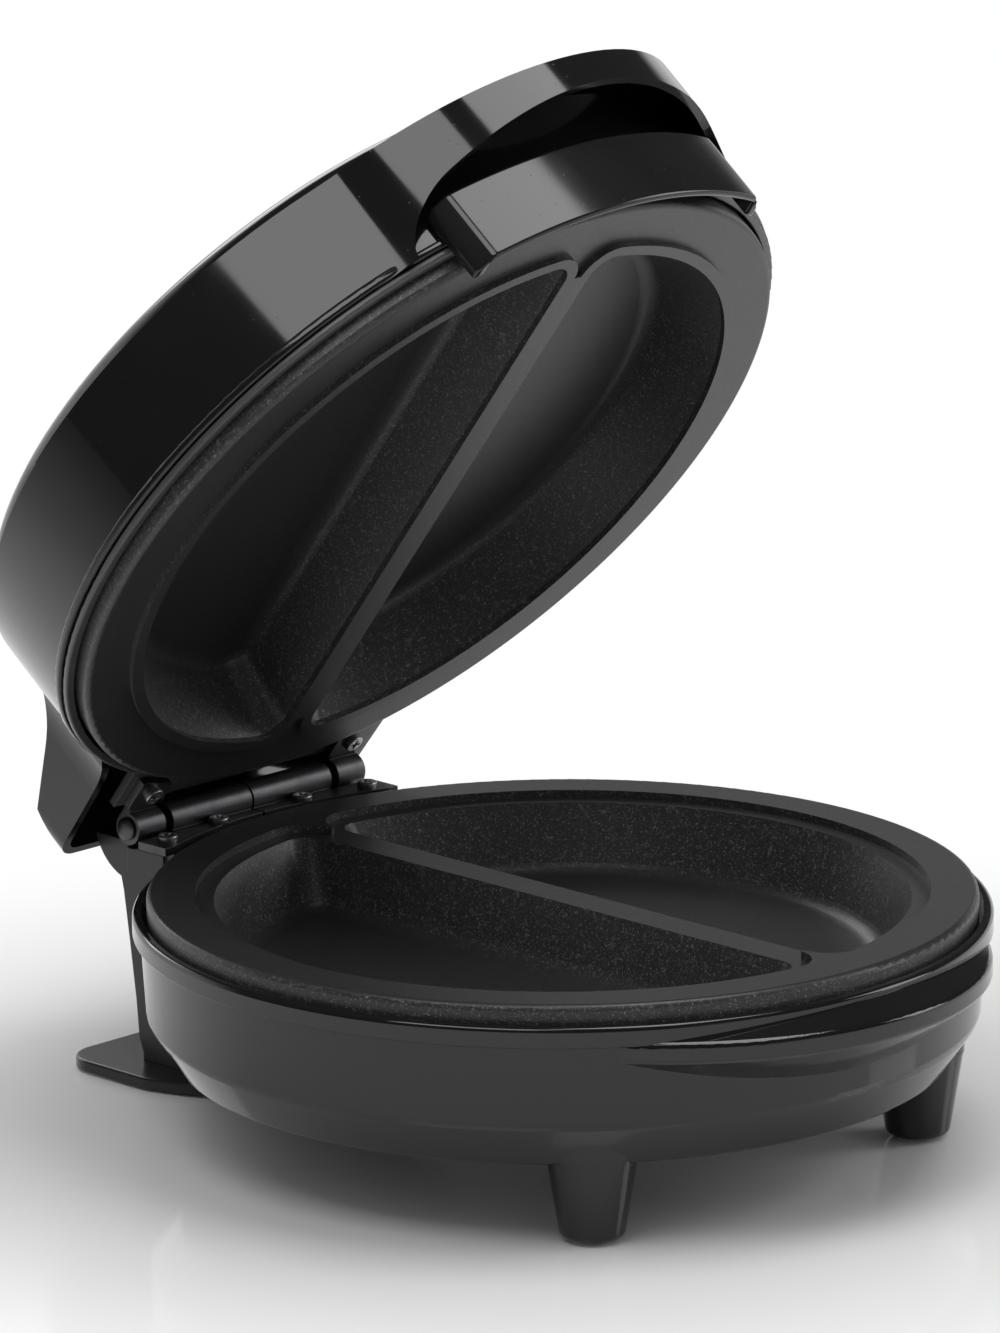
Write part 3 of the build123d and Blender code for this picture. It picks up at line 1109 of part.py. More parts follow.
def lid_wiring():
    """Leads from the upper element's ends to the ends of the thermal fuse."""
    level = UPPER_PAN_Z + TUBE_R
    fuse_z = UPPER_PAN_Z + FUSE_BASE_T + FUSE_R
    start, heading = element_end()
    pin_end = start + heading * (ELEMENT_TAIL + TERMINAL_L)
    ahead = pin_end + heading * LID_WIRE_LEAD
    bend_y = pin_end.Y - 2 * LID_WIRE_X
    rear = [(pin_end.X, pin_end.Y, level), (ahead.X, ahead.Y, level), (LID_WIRE_X, bend_y, level),
            (0, bend_y - 2 * LID_WIRE_X, fuse_z), (0, FUSE_L / 2, fuse_z)]
    front_y = -FUSE_L / 2
    around_y = front_y - LID_WIRE_X
    front = [(-pin_end.X, pin_end.Y, level), (-ahead.X, ahead.Y, level), (-ahead.X, bend_y, level),
             (-3 * LID_WIRE_X, bend_y - 2 * LID_WIRE_X, level), (-3 * LID_WIRE_X, around_y, level),
             (0, around_y, fuse_z), (0, front_y, fuse_z)]
    return group([wire(rear), wire(front)])


# ---------------------------------------------------------------- assembly
BASE_PIECES = {
    "base_housing": base_housing,
    "lower_cooking_plate": lower_cooking_plate,
    "lower_heating_element": lambda: Pos(0, 0, LOWER_PAN_Z - TUBE_R) * heating_element(),
    "lower_element_clips": lambda: element_clips(LOWER_PAN_Z, -1),
    "lower_heat_shield": lower_heat_shield,
    "thermostat": thermostat,
    "terminal_block": terminal_block,
    "base_wiring": base_wiring,
    "rear_column": rear_column,
    "rear_foot": rear_foot,
    "cord_inlet_bush": cord_inlet_bush,
    "base_hinge_leaf_right": base_hinge_leaf,
    "base_hinge_leaf_left": lambda: mirror(base_hinge_leaf(), Plane.YZ),
    "hinge_pin": hinge_pin,
    "front_foot_pads": front_foot_pads,
    "rear_foot_pads": rear_foot_pads,
    "lower_plate_screws": lower_plate_screws,
    "column_screws": column_screws,
    "rear_foot_screws": rear_foot_screws,
    "base_hinge_screws": base_hinge_screws,
}
LID_PIECES = {
    "lid_shell": lid_shell,
    "lid_frame": lid_frame,
    "upper_cooking_plate": upper_cooking_plate,
    "upper_heating_element": lambda: Pos(0, 0, UPPER_PAN_Z + TUBE_R) * heating_element(),
    "upper_element_clips": lambda: element_clips(UPPER_PAN_Z, 1),
    "upper_heat_shield": upper_heat_shield,
    "thermal_fuse": thermal_fuse,
    "lid_hinge_leaf_right": lid_hinge_leaf,
    "lid_hinge_leaf_left": lambda: mirror(lid_hinge_leaf(), Plane.YZ),
    "lid_hinge_screws": lid_hinge_screws,
    "upper_plate_screws": upper_plate_screws,
    "handle_band": handle_band,
    "handle_screws": handle_screws,
    "power_lamp_lens": lambda: lamp_lens(-1),
    "ready_lamp_lens": lambda: lamp_lens(1),
    "lamp_board": lamp_board,
    "lid_wiring": lid_wiring,
}


def assemble():
    """All pieces in the stored pose, with the origin under the middle of the object."""
    swing = Pos(0, HINGE_Y, HINGE_Z) * Rot(-REST_ANGLE, 0, 0) * Pos(0, -HINGE_Y, -HINGE_Z)
    pieces = {name: make() for name, make in BASE_PIECES.items()}
    pieces.update({name: swing * make() for name, make in LID_PIECES.items()})
    boxes = [piece.bounding_box() for piece in pieces.values()]
    middle_y = (min(box.min.Y for box in boxes) + max(box.max.Y for box in boxes)) / 2
    return {name: Pos(0, -middle_y, 0) * piece for name, piece in pieces.items()}


os.makedirs("parts", exist_ok=True)
for node, piece in assemble().items():
    export_step(piece, f"parts/{node}.step")
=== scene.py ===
"""Dresses the electric omelette maker: finishes, fine pieces, studio and camera.

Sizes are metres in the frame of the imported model: the floor at z = 0, the hinge to the rear (+Y)
and the handle to the front (-Y), with the lid standing open as it is stored.
"""
from __future__ import annotations

import json
import logging
import math
from collections.abc import Sequence
from dataclasses import dataclass
from enum import Enum

import bmesh
import bpy
from mathutils import Matrix, Vector


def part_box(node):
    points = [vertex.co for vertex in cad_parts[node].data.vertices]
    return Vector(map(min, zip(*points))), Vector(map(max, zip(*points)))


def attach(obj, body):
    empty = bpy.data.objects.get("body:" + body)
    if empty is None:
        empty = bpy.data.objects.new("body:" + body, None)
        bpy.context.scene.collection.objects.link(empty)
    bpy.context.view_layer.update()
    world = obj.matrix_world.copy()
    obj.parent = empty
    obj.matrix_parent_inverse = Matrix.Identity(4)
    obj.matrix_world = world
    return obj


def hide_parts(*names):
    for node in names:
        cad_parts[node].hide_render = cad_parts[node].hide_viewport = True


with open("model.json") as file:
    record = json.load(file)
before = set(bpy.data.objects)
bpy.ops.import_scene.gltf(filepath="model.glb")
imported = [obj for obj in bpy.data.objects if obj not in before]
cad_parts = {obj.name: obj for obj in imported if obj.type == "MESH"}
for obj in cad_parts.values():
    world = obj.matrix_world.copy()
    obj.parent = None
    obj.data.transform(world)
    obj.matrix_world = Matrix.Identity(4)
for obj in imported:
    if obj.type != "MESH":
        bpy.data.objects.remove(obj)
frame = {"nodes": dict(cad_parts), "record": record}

LOG = logging.getLogger("omelette_maker")
MM = 0.001
Colour = tuple[float, float, float]


class Body(Enum):
    """The two rigid bodies that the pieces ride on."""

    BASE = "base"
    LID = "lid"


class Way(Enum):
    """Directions that turned pieces stand along."""

    UP = (0.0, 0.0, 1.0)
    RIGHT = (1.0, 0.0, 0.0)
    REAR = (0.0, 1.0, 0.0)


# ---------------------------------------------------------------- shader tools
class Signal:
    """A number carried by a socket; arithmetic on it adds Math nodes."""

    def __init__(self, sheet: Sheet, socket: bpy.types.NodeSocket) -> None:
        """Keeps the socket and the sheet that it belongs to."""
        self.sheet = sheet
        self.socket = socket

    def _math(self, operation: str, *values: Signal | float) -> Signal:
        """Adds one Math node.

        Args:
            operation: The node's operation.
            values: Its inputs in order.

        Returns:
            The result's signal.
        """
        return self.sheet.add("ShaderNodeMath", {"operation": operation}, dict(enumerate(values)))

    def __add__(self, other: Signal | float) -> Signal:
        """Sum."""
        return self._math("ADD", self, other)

    def __radd__(self, other: float) -> Signal:
        """Sum, with the number first."""
        return self._math("ADD", other, self)

    def __sub__(self, other: Signal | float) -> Signal:
        """Difference."""
        return self._math("SUBTRACT", self, other)

    def __rsub__(self, other: float) -> Signal:
        """Difference, with the number first."""
        return self._math("SUBTRACT", other, self)

    def __mul__(self, other: Signal | float) -> Signal:
        """Product."""
        return self._math("MULTIPLY", self, other)

    def __rmul__(self, other: float) -> Signal:
        """Product, with the number first."""
        return self._math("MULTIPLY", other, self)

    def __truediv__(self, other: Signal | float) -> Signal:
        """Quotient."""
        return self._math("DIVIDE", self, other)

    def __pow__(self, other: float) -> Signal:
        """Power."""
        return self._math("POWER", self, other)

    def __abs__(self) -> Signal:
        """Size without its sign."""
        return self._math("ABSOLUTE", self)

    def above(self, start: float, end: float) -> Signal:
        """Ramp from 0 at start to 1 at end, held within both.

        Args:
            start: Value that gives 0.
            end: Value that gives 1.

        Returns:
            The ramp's signal.
        """
        inputs = {"Value": self, "From Min": start, "From Max": end}
        return self.sheet.add("ShaderNodeMapRange", {"interpolation_type": "SMOOTHSTEP"}, inputs)


class Sheet:
    """The node tree of one material or world, with short ways to add to it."""

    def __init__(self, owner: bpy.types.Material | bpy.types.World) -> None:
        """Starts an empty tree on its owner."""
        owner.use_nodes = True
        self.tree = owner.node_tree
        self.tree.nodes.clear()

    def add(self, kind: str, settings: dict[str, object] | None = None,
            inputs: dict[str | int, object] | None = None, output: str | int = 0) -> Signal:
        """Adds a node, sets it up and feeds its sockets.

        Args:
            kind: The node's type.
            settings: Its properties; "stops" gives a ramp's (place, colour) pairs.
            inputs: Values or signals by socket name or number.
            output: The output that the result stands for.

        Returns:
            A signal of that output.
        """
        node = self.tree.nodes.new(kind)
        for name, value in (settings or {}).items():
            if name == "stops":
                self._stops(node.color_ramp, value)
            else:
                setattr(node, name, value)
        for name, value in (inputs or {}).items():
            if isinstance(value, Signal):
                self.tree.links.new(value.socket, node.inputs[name])
            else:
                node.inputs[name].default_value = value
        return Signal(self, node.outputs[output]) if node.outputs else Signal(self, None)

    @staticmethod
    def _stops(ramp: bpy.types.ColorRamp, stops: Sequence[tuple[float, Colour]]) -> None:
        """Writes a ramp's stops.

        Args:
            ramp: The ramp.
            stops: Places and colours in order.
        """
        while len(ramp.elements) < len(stops):
            ramp.elements.new(1.0)
        for element, (place, colour) in zip(ramp.elements, stops):
            element.position = place
            element.color = (*colour, 1.0)

    def place(self) -> Signal:
        """Position on the piece, in metres of the shared frame."""
        return self.add("ShaderNodeTexCoord", output="Object")

    def facing(self, axis: Sequence[float]) -> Signal:
        """How far the surface faces along an axis of the piece, from -1 to 1.

        Args:
            axis: Unit vector.

        Returns:
            The cosine's signal.
        """
        normal = self.add("ShaderNodeTexCoord", output="Normal")
        return self.add("ShaderNodeVectorMath", {"operation": "DOT_PRODUCT"},
                        {0: normal, 1: tuple(axis)}, "Value")

    def stretched(self, scale: Sequence[float], turn: Sequence[float] = (0, 0, 0)) -> Signal:
        """Position scaled along each axis, for grain that runs one way.

        Args:
            scale: Factors along the three axes.
            turn: Rotation before scaling, in radians.

        Returns:
            The scaled position.
        """
        settings = {"vector_type": "TEXTURE"} if any(turn) else {}
        vector = self.place()
        if any(turn):
            vector = self.add("ShaderNodeMapping", settings, {"Vector": vector, "Rotation": tuple(turn)})
        return self.add("ShaderNodeMapping", {}, {"Vector": vector, "Scale": tuple(scale)})

    def noise(self, size_mm: float, detail: float = 2.0, rough: float = 0.5,
              vector: Signal | None = None) -> Signal:
        """Cloudy variation from 0 to 1.

        Args:
            size_mm: Size of its largest blobs.
            detail: Octaves.
            rough: Share of each finer octave.
            vector: Position, the piece's own unless given.

        Returns:
            The variation's signal.
        """
        inputs = {"Vector": vector or self.place(), "Scale": 1.0 / (size_mm * MM),
                  "Detail": detail, "Roughness": rough}
        return self.add("ShaderNodeTexNoise", {}, inputs, 0)

    def cells(self, size_mm: float, feature: str = "F1") -> Signal:
        """Distance inside scattered cells.

        Args:
            size_mm: Cell size.
            feature: The Voronoi feature.

        Returns:
            The distance's signal.
        """
        inputs = {"Vector": self.place(), "Scale": 1.0 / (size_mm * MM)}
        return self.add("ShaderNodeTexVoronoi", {"feature": feature}, inputs, "Distance")

    def blend(self, low: Colour, high: Colour, share: Signal) -> Signal:
        """Mixes two colours.

        Args:
            low: Colour where the share is 0.
            high: Colour where it is 1.
            share: Mixing share.

        Returns:
            The colour's signal.
        """
        return self.add("ShaderNodeMix", {"data_type": "RGBA"},
                        {0: share, 6: (*low, 1.0), 7: (*high, 1.0)}, 2)

    def soft_edges(self, radius_mm: float) -> Signal:
        """Normal that rounds sharp edges.

        Args:
            radius_mm: Rounding radius.

        Returns:
            The normal's signal.
        """
        return self.add("ShaderNodeBevel", {"samples": 4}, {"Radius": radius_mm * MM})

    def relief(self, height: Signal, depth_mm: float, normal: Signal | None = None) -> Signal:
        """Fine relief on the surface.

        Args:
            height: Height from 0 to 1.
            depth_mm: What a height of 1 stands for.
            normal: Normal underneath, if changed already.

        Returns:
            The normal's signal.
        """
        inputs: dict[str | int, object] = {"Height": height, "Strength": 1.0, "Distance": depth_mm * MM}
        if normal is not None:
            inputs["Normal"] = normal
        return self.add("ShaderNodeBump", {}, inputs)

    def surface(self, inputs: dict[str | int, object]) -> None:
        """Ends the tree in one Principled shader.

        Args:
            inputs: Its sockets.
        """
        shader = self.add("ShaderNodeBsdfPrincipled", {}, inputs)
        self.add("ShaderNodeOutputMaterial", {}, {"Surface": shader})


# ---------------------------------------------------------------- finishes
@dataclass(frozen=True)
class Finish:
    """Common part of every finish: its name and plain colour."""

    name: str
    colour: Colour

    def make(self) -> bpy.types.Material:
        """Makes the material.

        Returns:
            The material, with its nodes.
        """
        material = bpy.data.materials.new(self.name)
        material.diffuse_color = (*self.colour, 1.0)
        self.paint(Sheet(material))
        return material

    def paint(self, sheet: Sheet) -> None:
        """Fills the tree; each finish has its own way."""
        raise NotImplementedError

    def shade(self, factor: float) -> Colour:
        """The plain colour made lighter or darker."""
        return tuple(min(1.0, c * factor) for c in self.colour)


@dataclass(frozen=True)
class GlossMoulding(Finish):
    """Polished black moulding: deep reflections with faint waves, haze and dust."""

    roughness: float = 0.06
    haze: float = 0.05
    wave_mm: float = 34.0
    wave_depth_mm: float = 0.03

    def paint(self, sheet: Sheet) -> None:
        """Fills the tree."""
        wipe = sheet.noise(26.0, 3.0, 0.55, sheet.stretched((1.0, 0.35, 0.6)))
        dust = sheet.cells(3.1).above(0.09, 0.03)
        haze = wipe.above(0.42, 0.75) * self.haze + dust * 0.25
        waves = sheet.noise(self.wave_mm, 1.0) + sheet.noise(1.6, 2.0) * 0.012
        normal = sheet.relief(waves, self.wave_depth_mm)
        sheet.surface({
            "Base Color": sheet.blend(self.colour, self.shade(1.9), haze * 4.0 + dust * 0.5),
            "Roughness": haze + self.roughness,
            "Normal": normal,
            "IOR": 1.52,
        })


@dataclass(frozen=True)
class SatinMoulding(Finish):
    """Eroded-grain moulding: fine matt texture with a soft sheen."""

    roughness: float = 0.4
    grain_mm: float = 0.45
    grain_depth_mm: float = 0.02
    edge_mm: float = 0.5
    wear: float = 0.35

    def paint(self, sheet: Sheet) -> None:
        """Fills the tree."""
        grain = sheet.noise(self.grain_mm, 3.0, 0.6)
        cloud = sheet.noise(18.0, 2.0)
        rub = sheet.noise(5.0, 4.0, 0.65).above(0.52, 0.78) * self.wear
        sheet.surface({
            "Base Color": sheet.blend(self.shade(0.85), self.shade(1.5), cloud * 0.5 + rub),
            "Roughness": grain * 0.16 + (self.roughness - 0.08) - rub * 0.1,
            "Normal": sheet.relief(grain, self.grain_depth_mm, sheet.soft_edges(self.edge_mm)),
        })


@dataclass(frozen=True)
class NonstickCoating(Finish):
    """Dark sprayed coating on a casting: sparkle, orange peel and grainier side walls, which are also painted
    paler as a painted sheen.
    """

    axis: tuple[float, float, float] = (0.0, 0.0, 1.0)
    # Colour of the coating's speckle, and of the painted sheen on the side walls.
    speck_and_wall_sheen: Colour = (0.42, 0.42, 0.43)
    roughness: float = 0.32

    def paint(self, sheet: Sheet) -> None:
        """Fills the tree."""
        side = 1.0 - abs(sheet.facing(self.axis)).above(0.35, 0.95)
        fine = sheet.noise(0.55, 2.0, 0.7).above(0.56, 0.74)
        coarse = sheet.noise(1.5, 3.0, 0.65).above(0.54, 0.72)
        stars = sheet.cells(0.9).above(0.2, 0.06)
        # The side-wall terms lighten the side walls as painted sheen, on top of the coating's own speckle.
        specks = fine * (0.1 + side * 0.26) + stars * (0.1 + side * 0.3) + coarse * side * 0.12
        cloud = sheet.noise(24.0, 2.0)
        peel = sheet.noise(0.9, 2.0, 0.55) + coarse * side * 1.2
        sheet.surface({
            "Base Color": sheet.blend(self.colour, self.speck_and_wall_sheen, specks + cloud * 0.02),
            "Roughness": self.roughness + peel * 0.1 - stars * 0.1 + side * 0.04,
            "Metallic": stars * 0.6,
            "Normal": sheet.relief(peel, 0.03),
        })


@dataclass(frozen=True)
class WorkedMetal(Finish):
    """Metal with grain along one direction, light tarnish and fine scratches."""

    roughness: float = 0.3
    grain: tuple[float, float, float] = (0.04, 1.0, 1.0)
    grain_mm: float = 0.25
    tarnish: float = 0.3
    edge_mm: float = 0.25

    def paint(self, sheet: Sheet) -> None:
        """Fills the tree."""
        lines = sheet.noise(self.grain_mm, 3.0, 0.6, sheet.stretched(self.grain))
        stain = sheet.noise(7.0, 4.0, 0.6).above(0.45, 0.8) * self.tarnish
        sheet.surface({
            "Base Color": sheet.blend(self.shade(1.1), self.shade(0.55), stain + lines * 0.25),
            "Metallic": 1.0,
            "Roughness": lines * 0.18 + (self.roughness - 0.06) + stain * 0.25,
            "Normal": sheet.relief(lines, 0.008, sheet.soft_edges(self.edge_mm)),
        })


@dataclass(frozen=True)
class SoftRubber(Finish):
    """Matt rubber with a powdery bloom."""

    roughness: float = 0.62

    def paint(self, sheet: Sheet) -> None:
        """Fills the tree."""
        bloom = sheet.noise(2.4, 4.0, 0.6)
        pores = sheet.cells(0.5)
        sheet.surface({
            "Base Color": sheet.blend(self.shade(0.85), self.shade(1.12), bloom),
            "Roughness": bloom * 0.14 + self.roughness,
            "Normal": sheet.relief(pores, 0.015, sheet.soft_edges(0.3)),
        })


@dataclass(frozen=True)
class WovenSleeve(Finish):
    """Glass-fibre sleeve of the leads: a fine crossing weave."""

    def paint(self, sheet: Sheet) -> None:
        """Fills the tree."""
        place = sheet.place()
        waves = [sheet.add("ShaderNodeTexWave", {"bands_direction": way},
                           {"Vector": place, "Scale": 190.0, "Distortion": 0.6}, 1)
                 for way in ("X", "Y", "Z")]
        weave = waves[0] * waves[1] + waves[2] * 0.5
        sheet.surface({
            "Base Color": sheet.blend(self.shade(0.6), self.colour, weave),
            "Roughness": 0.85 - weave * 0.1,
            "Normal": sheet.relief(weave, 0.08),
        })


@dataclass(frozen=True)
class LampLens(Finish):
    """Tinted clear plastic with moulded facets under a smooth dome."""

    glow: float = 0.15

    def paint(self, sheet: Sheet) -> None:
        """Fills the tree."""
        facets = sheet.cells(0.8)
        tint = sheet.blend(self.shade(0.45), self.colour, facets)
        sheet.surface({
            "Base Color": tint,
            "Roughness": facets * 0.08 + 0.05,
            "Emission Color": tint,
            "Emission Strength": self.glow,
            "Coat Weight": 1.0,
            "Normal": sheet.relief(facets, 0.05),
        })


@dataclass(frozen=True)
class GlazedCeramic(Finish):
    """Off-white ceramic with speckles under a thin glaze."""

    def paint(self, sheet: Sheet) -> None:
        """Fills the tree."""
        specks = sheet.cells(1.1).above(0.16, 0.08)
        waves = sheet.noise(3.0, 2.0)
        sheet.surface({
            "Base Color": sheet.blend(self.colour, (0.36, 0.32, 0.27), specks * 0.6),
            "Roughness": waves * 0.1 + 0.25,
            "Normal": sheet.relief(waves, 0.05, sheet.soft_edges(0.3)),
        })


GLOSS_BLACK = GlossMoulding("gloss_black", (0.0075, 0.0075, 0.008))
GLOSS_BAND = GlossMoulding("gloss_band", (0.0085, 0.0085, 0.009), roughness=0.13, wave_mm=20.0)
SATIN_BLACK = SatinMoulding("satin_black", (0.024, 0.024, 0.025), roughness=0.36)
SATIN_FOOT = SatinMoulding("satin_foot", (0.016, 0.016, 0.017), roughness=0.24, grain_depth_mm=0.008)
LIP_GREY = SatinMoulding("lip_grey", (0.055, 0.055, 0.057), roughness=0.33, grain_depth_mm=0.01)
HINGE_STEEL = WorkedMetal("hinge_steel", (0.105, 0.105, 0.11), roughness=0.38)
SCREW_STEEL = WorkedMetal("screw_steel", (0.42, 0.42, 0.43), roughness=0.3)
SHEATH_METAL = WorkedMetal("sheath_metal", (0.2, 0.17, 0.14), roughness=0.5, tarnish=0.8)
CLIP_STEEL = WorkedMetal("clip_steel", (0.5, 0.5, 0.5), roughness=0.32)
SHIELD_SHEET = WorkedMetal("shield_sheet", (0.72, 0.73, 0.75), roughness=0.34, tarnish=0.2)
PAD_RUBBER = SoftRubber("pad_rubber", (0.55, 0.54, 0.52))
BUSH_RUBBER = SoftRubber("bush_rubber", (0.02, 0.02, 0.021), roughness=0.5)
CERAMIC = GlazedCeramic("ceramic", (0.78, 0.75, 0.7))
SLEEVE = WovenSleeve("sleeve", (0.7, 0.68, 0.62))
FUSE_CAN = WorkedMetal("fuse_can", (0.6, 0.59, 0.56), roughness=0.28)
RED_LENS = LampLens("red_lens", (0.5, 0.015, 0.012))
GREEN_LENS = LampLens("green_lens", (0.02, 0.36, 0.05))
BOARD_GREEN = SatinMoulding("board_green", (0.02, 0.14, 0.06), roughness=0.3)


class Wardrobe:
    """Makes each finish once and puts it on pieces."""

    def __init__(self) -> None:
        """Starts with no material made."""
        self.made: dict[str, bpy.types.Material] = {}

    def material(self, finish: Finish) -> bpy.types.Material:
        """Returns the finish's material, made at its first use."""
        if finish.name not in self.made:
            self.made[finish.name] = finish.make()
        return self.made[finish.name]

    def dress(self, finish: Finish, *names: str) -> None:
        """Puts a finish on CAD nodes.

        Args:
            finish: The finish.
            names: Node names.
        """
        for name in names:
            piece = frame["nodes"][name]
            piece.data.materials.clear()
            piece.data.materials.append(self.material(finish))
            LOG.info("dressed %s in %s", name, finish.name)


# ---------------------------------------------------------------- stage
@dataclass
class Camera:
    """The photograph's viewpoint, taken to be 1000 by 1333 pixels."""

    place: tuple[float, float, float] = (-1.7016, -1.6891, 0.7406)
    target: tuple[float, float, float] = (-0.0008, 0.0082, 0.1104)
    roll: float = -0.44
    focal_px: float = 10558.0
    height_px: float = 1333.0

    def build(self) -> bpy.types.Object:
        """Makes the camera and gives it to the scene.

        Returns:
            The camera object.
        """
        data = bpy.data.cameras.new("camera")
        data.sensor_fit = "VERTICAL"
        data.sensor_height = 36.0
        data.lens = self.focal_px * data.sensor_height / self.height_px
        data.clip_start, data.clip_end = 0.05, 20.0
        camera = bpy.data.objects.new("camera", data)
        view = Vector(self.target) - Vector(self.place)
        aim = view.to_track_quat("-Z", "Y").to_matrix().to_4x4()
        spin = Matrix.Rotation(math.radians(self.roll), 4, "Z")
        camera.matrix_world = Matrix.Translation(self.place) @ aim @ spin
        bpy.context.scene.collection.objects.link(camera)
        bpy.context.scene.camera = camera
        return camera


@dataclass
class SoftBox:
    """One rectangular lamp that looks at a point."""

    name: str
    place: tuple[float, float, float]
    size: tuple[float, float]
    power: float
    target: tuple[float, float, float] = (0.0, 0.0, 0.12)

    def build(self) -> bpy.types.Object:
        """Makes the lamp.

        Returns:
            The lamp object.
        """
        data = bpy.data.lights.new(self.name, "AREA")
        data.shape = "RECTANGLE"
        data.size, data.size_y = self.size
        data.energy = self.power
        lamp = bpy.data.objects.new(self.name, data)
        lamp.location = self.place
        lamp.rotation_euler = (Vector(self.target) - Vector(self.place)).to_track_quat("-Z", "Y").to_euler()
        lamp.visible_camera = False
        bpy.context.scene.collection.objects.link(lamp)
        return lamp


@dataclass
class Studio:
    """White glossy floor, white surroundings and plain soft lamps."""

    floor_radius: float = 4.0
    fade_start: float = 0.09
    fade_end: float = 0.27
    mirror_start: float = 0.28
    mirror_end: float = 0.62
    floor_shade: float = 0.82
    ambient: float = 0.5
    boxes: Sequence[SoftBox] = (
        SoftBox("wall_box", (-0.57, -0.13, 0.98), (0.62, 0.42), 3.0, (-0.07, -0.03, 0.22)),
        SoftBox("grip_box", (0.13, -0.24, 1.12), (0.6, 0.5), 4.4, (0.0, 0.0, 0.2)),
        SoftBox("right_box", (1.1, -0.75, 0.7), (0.5, 0.7), 4.2),
        SoftBox("rear_box", (0.5, 1.15, 0.75), (0.7, 0.5), 3.0),
    )

    def build(self) -> None:
        """Makes floor, world and lamps."""
        self._floor()
        self._world()
        for box in self.boxes:
            box.build()
            LOG.info("placed %s", box.name)
        bpy.context.scene.view_settings.view_transform = "Standard"

    def _floor(self) -> None:
        """Round floor that mirrors the object faintly and fades to plain white further out."""
        mesh = bpy.data.meshes.new("floor")
        form = bmesh.new()
        bmesh.ops.create_circle(form, cap_ends=True, segments=96, radius=self.floor_radius)
        form.to_mesh(mesh)
        form.free()
        floor = bpy.data.objects.new("floor", mesh)
        bpy.context.scene.collection.objects.link(floor)
        material = bpy.data.materials.new("floor_white")
        sheet = Sheet(material)
        away = sheet.add("ShaderNodeVectorMath", {"operation": "LENGTH"}, {0: sheet.place()}, "Value")
        shade = self.floor_shade
        gloss = sheet.add("ShaderNodeBsdfPrincipled", {}, {
            "Base Color": (shade, shade, shade, 1.0), "Roughness": 0.09, "IOR": 1.6})
        white = sheet.add("ShaderNodeEmission", {}, {"Color": (1.0, 1.0, 1.0, 1.0), "Strength": 1.0})
        camera, mirrored = self._rays(sheet)
        near = 1.0 - away.above(self.mirror_start, self.mirror_end)
        share = away.above(self.fade_start, self.fade_end) * (camera + mirrored * near)
        mixed = sheet.add("ShaderNodeMixShader", {}, {0: share, 1: gloss, 2: white})
        sheet.add("ShaderNodeOutputMaterial", {}, {"Surface": mixed})
        mesh.materials.append(material)

    @staticmethod
    def _rays(sheet: Sheet) -> tuple[Signal, Signal]:
        """Tells the rays that look at the surroundings apart.

        Args:
            sheet: The tree that asks.

        Returns:
            1 for rays from the camera, and 1 for rays by mirror or through glass.
        """
        camera = sheet.add("ShaderNodeLightPath", output="Is Camera Ray")
        glossy = sheet.add("ShaderNodeLightPath", output="Is Glossy Ray")
        through = sheet.add("ShaderNodeLightPath", output="Is Transmission Ray")
        return camera, (glossy + through).above(0.0, 1.0)

    def _world(self) -> None:
        """White surroundings to the eye; mirrored, only the rear and a low wall to the right stay white."""
        world = bpy.data.worlds.new("surroundings")
        bpy.context.scene.world = world
        sheet = Sheet(world)
        camera, mirrored = self._rays(sheet)
        heading = sheet.add("ShaderNodeTexCoord", output="Generated")
        right, rear, height = (sheet.add("ShaderNodeSeparateXYZ", {}, {0: heading}, axis) for axis in range(3))
        wall = (1.0 - height.above(0.1, 0.26)) * right.above(-0.35, 0.1)
        dark = (1.0 - wall) * (1.0 - rear.above(0.72, 0.94))
        level = camera + mirrored * (1.0 - dark * 0.95) + (1.0 - camera - mirrored) * self.ambient
        shade = sheet.add("ShaderNodeBackground", {}, {"Color": (1, 1, 1, 1), "Strength": level})
        sheet.add("ShaderNodeOutputWorld", {}, {"Surface": shade})


# ---------------------------------------------------------------- shared shapes
def corner(inner: tuple[float, float], radius: float, start_deg: float, steps: int = 8
           ) -> list[tuple[float, float]]:
    """Points of a quarter round in a profile, clockwise.

    Args:
        inner: Its centre.
        radius: Its radius.
        start_deg: Direction of its first point.
        steps: Number of chords.

    Returns:
        The points.
    """
    turns = [math.radians(start_deg - 90.0 * step / steps) for step in range(steps + 1)]
    return [(inner[0] + radius * math.cos(turn), inner[1] + radius * math.sin(turn)) for turn in turns]


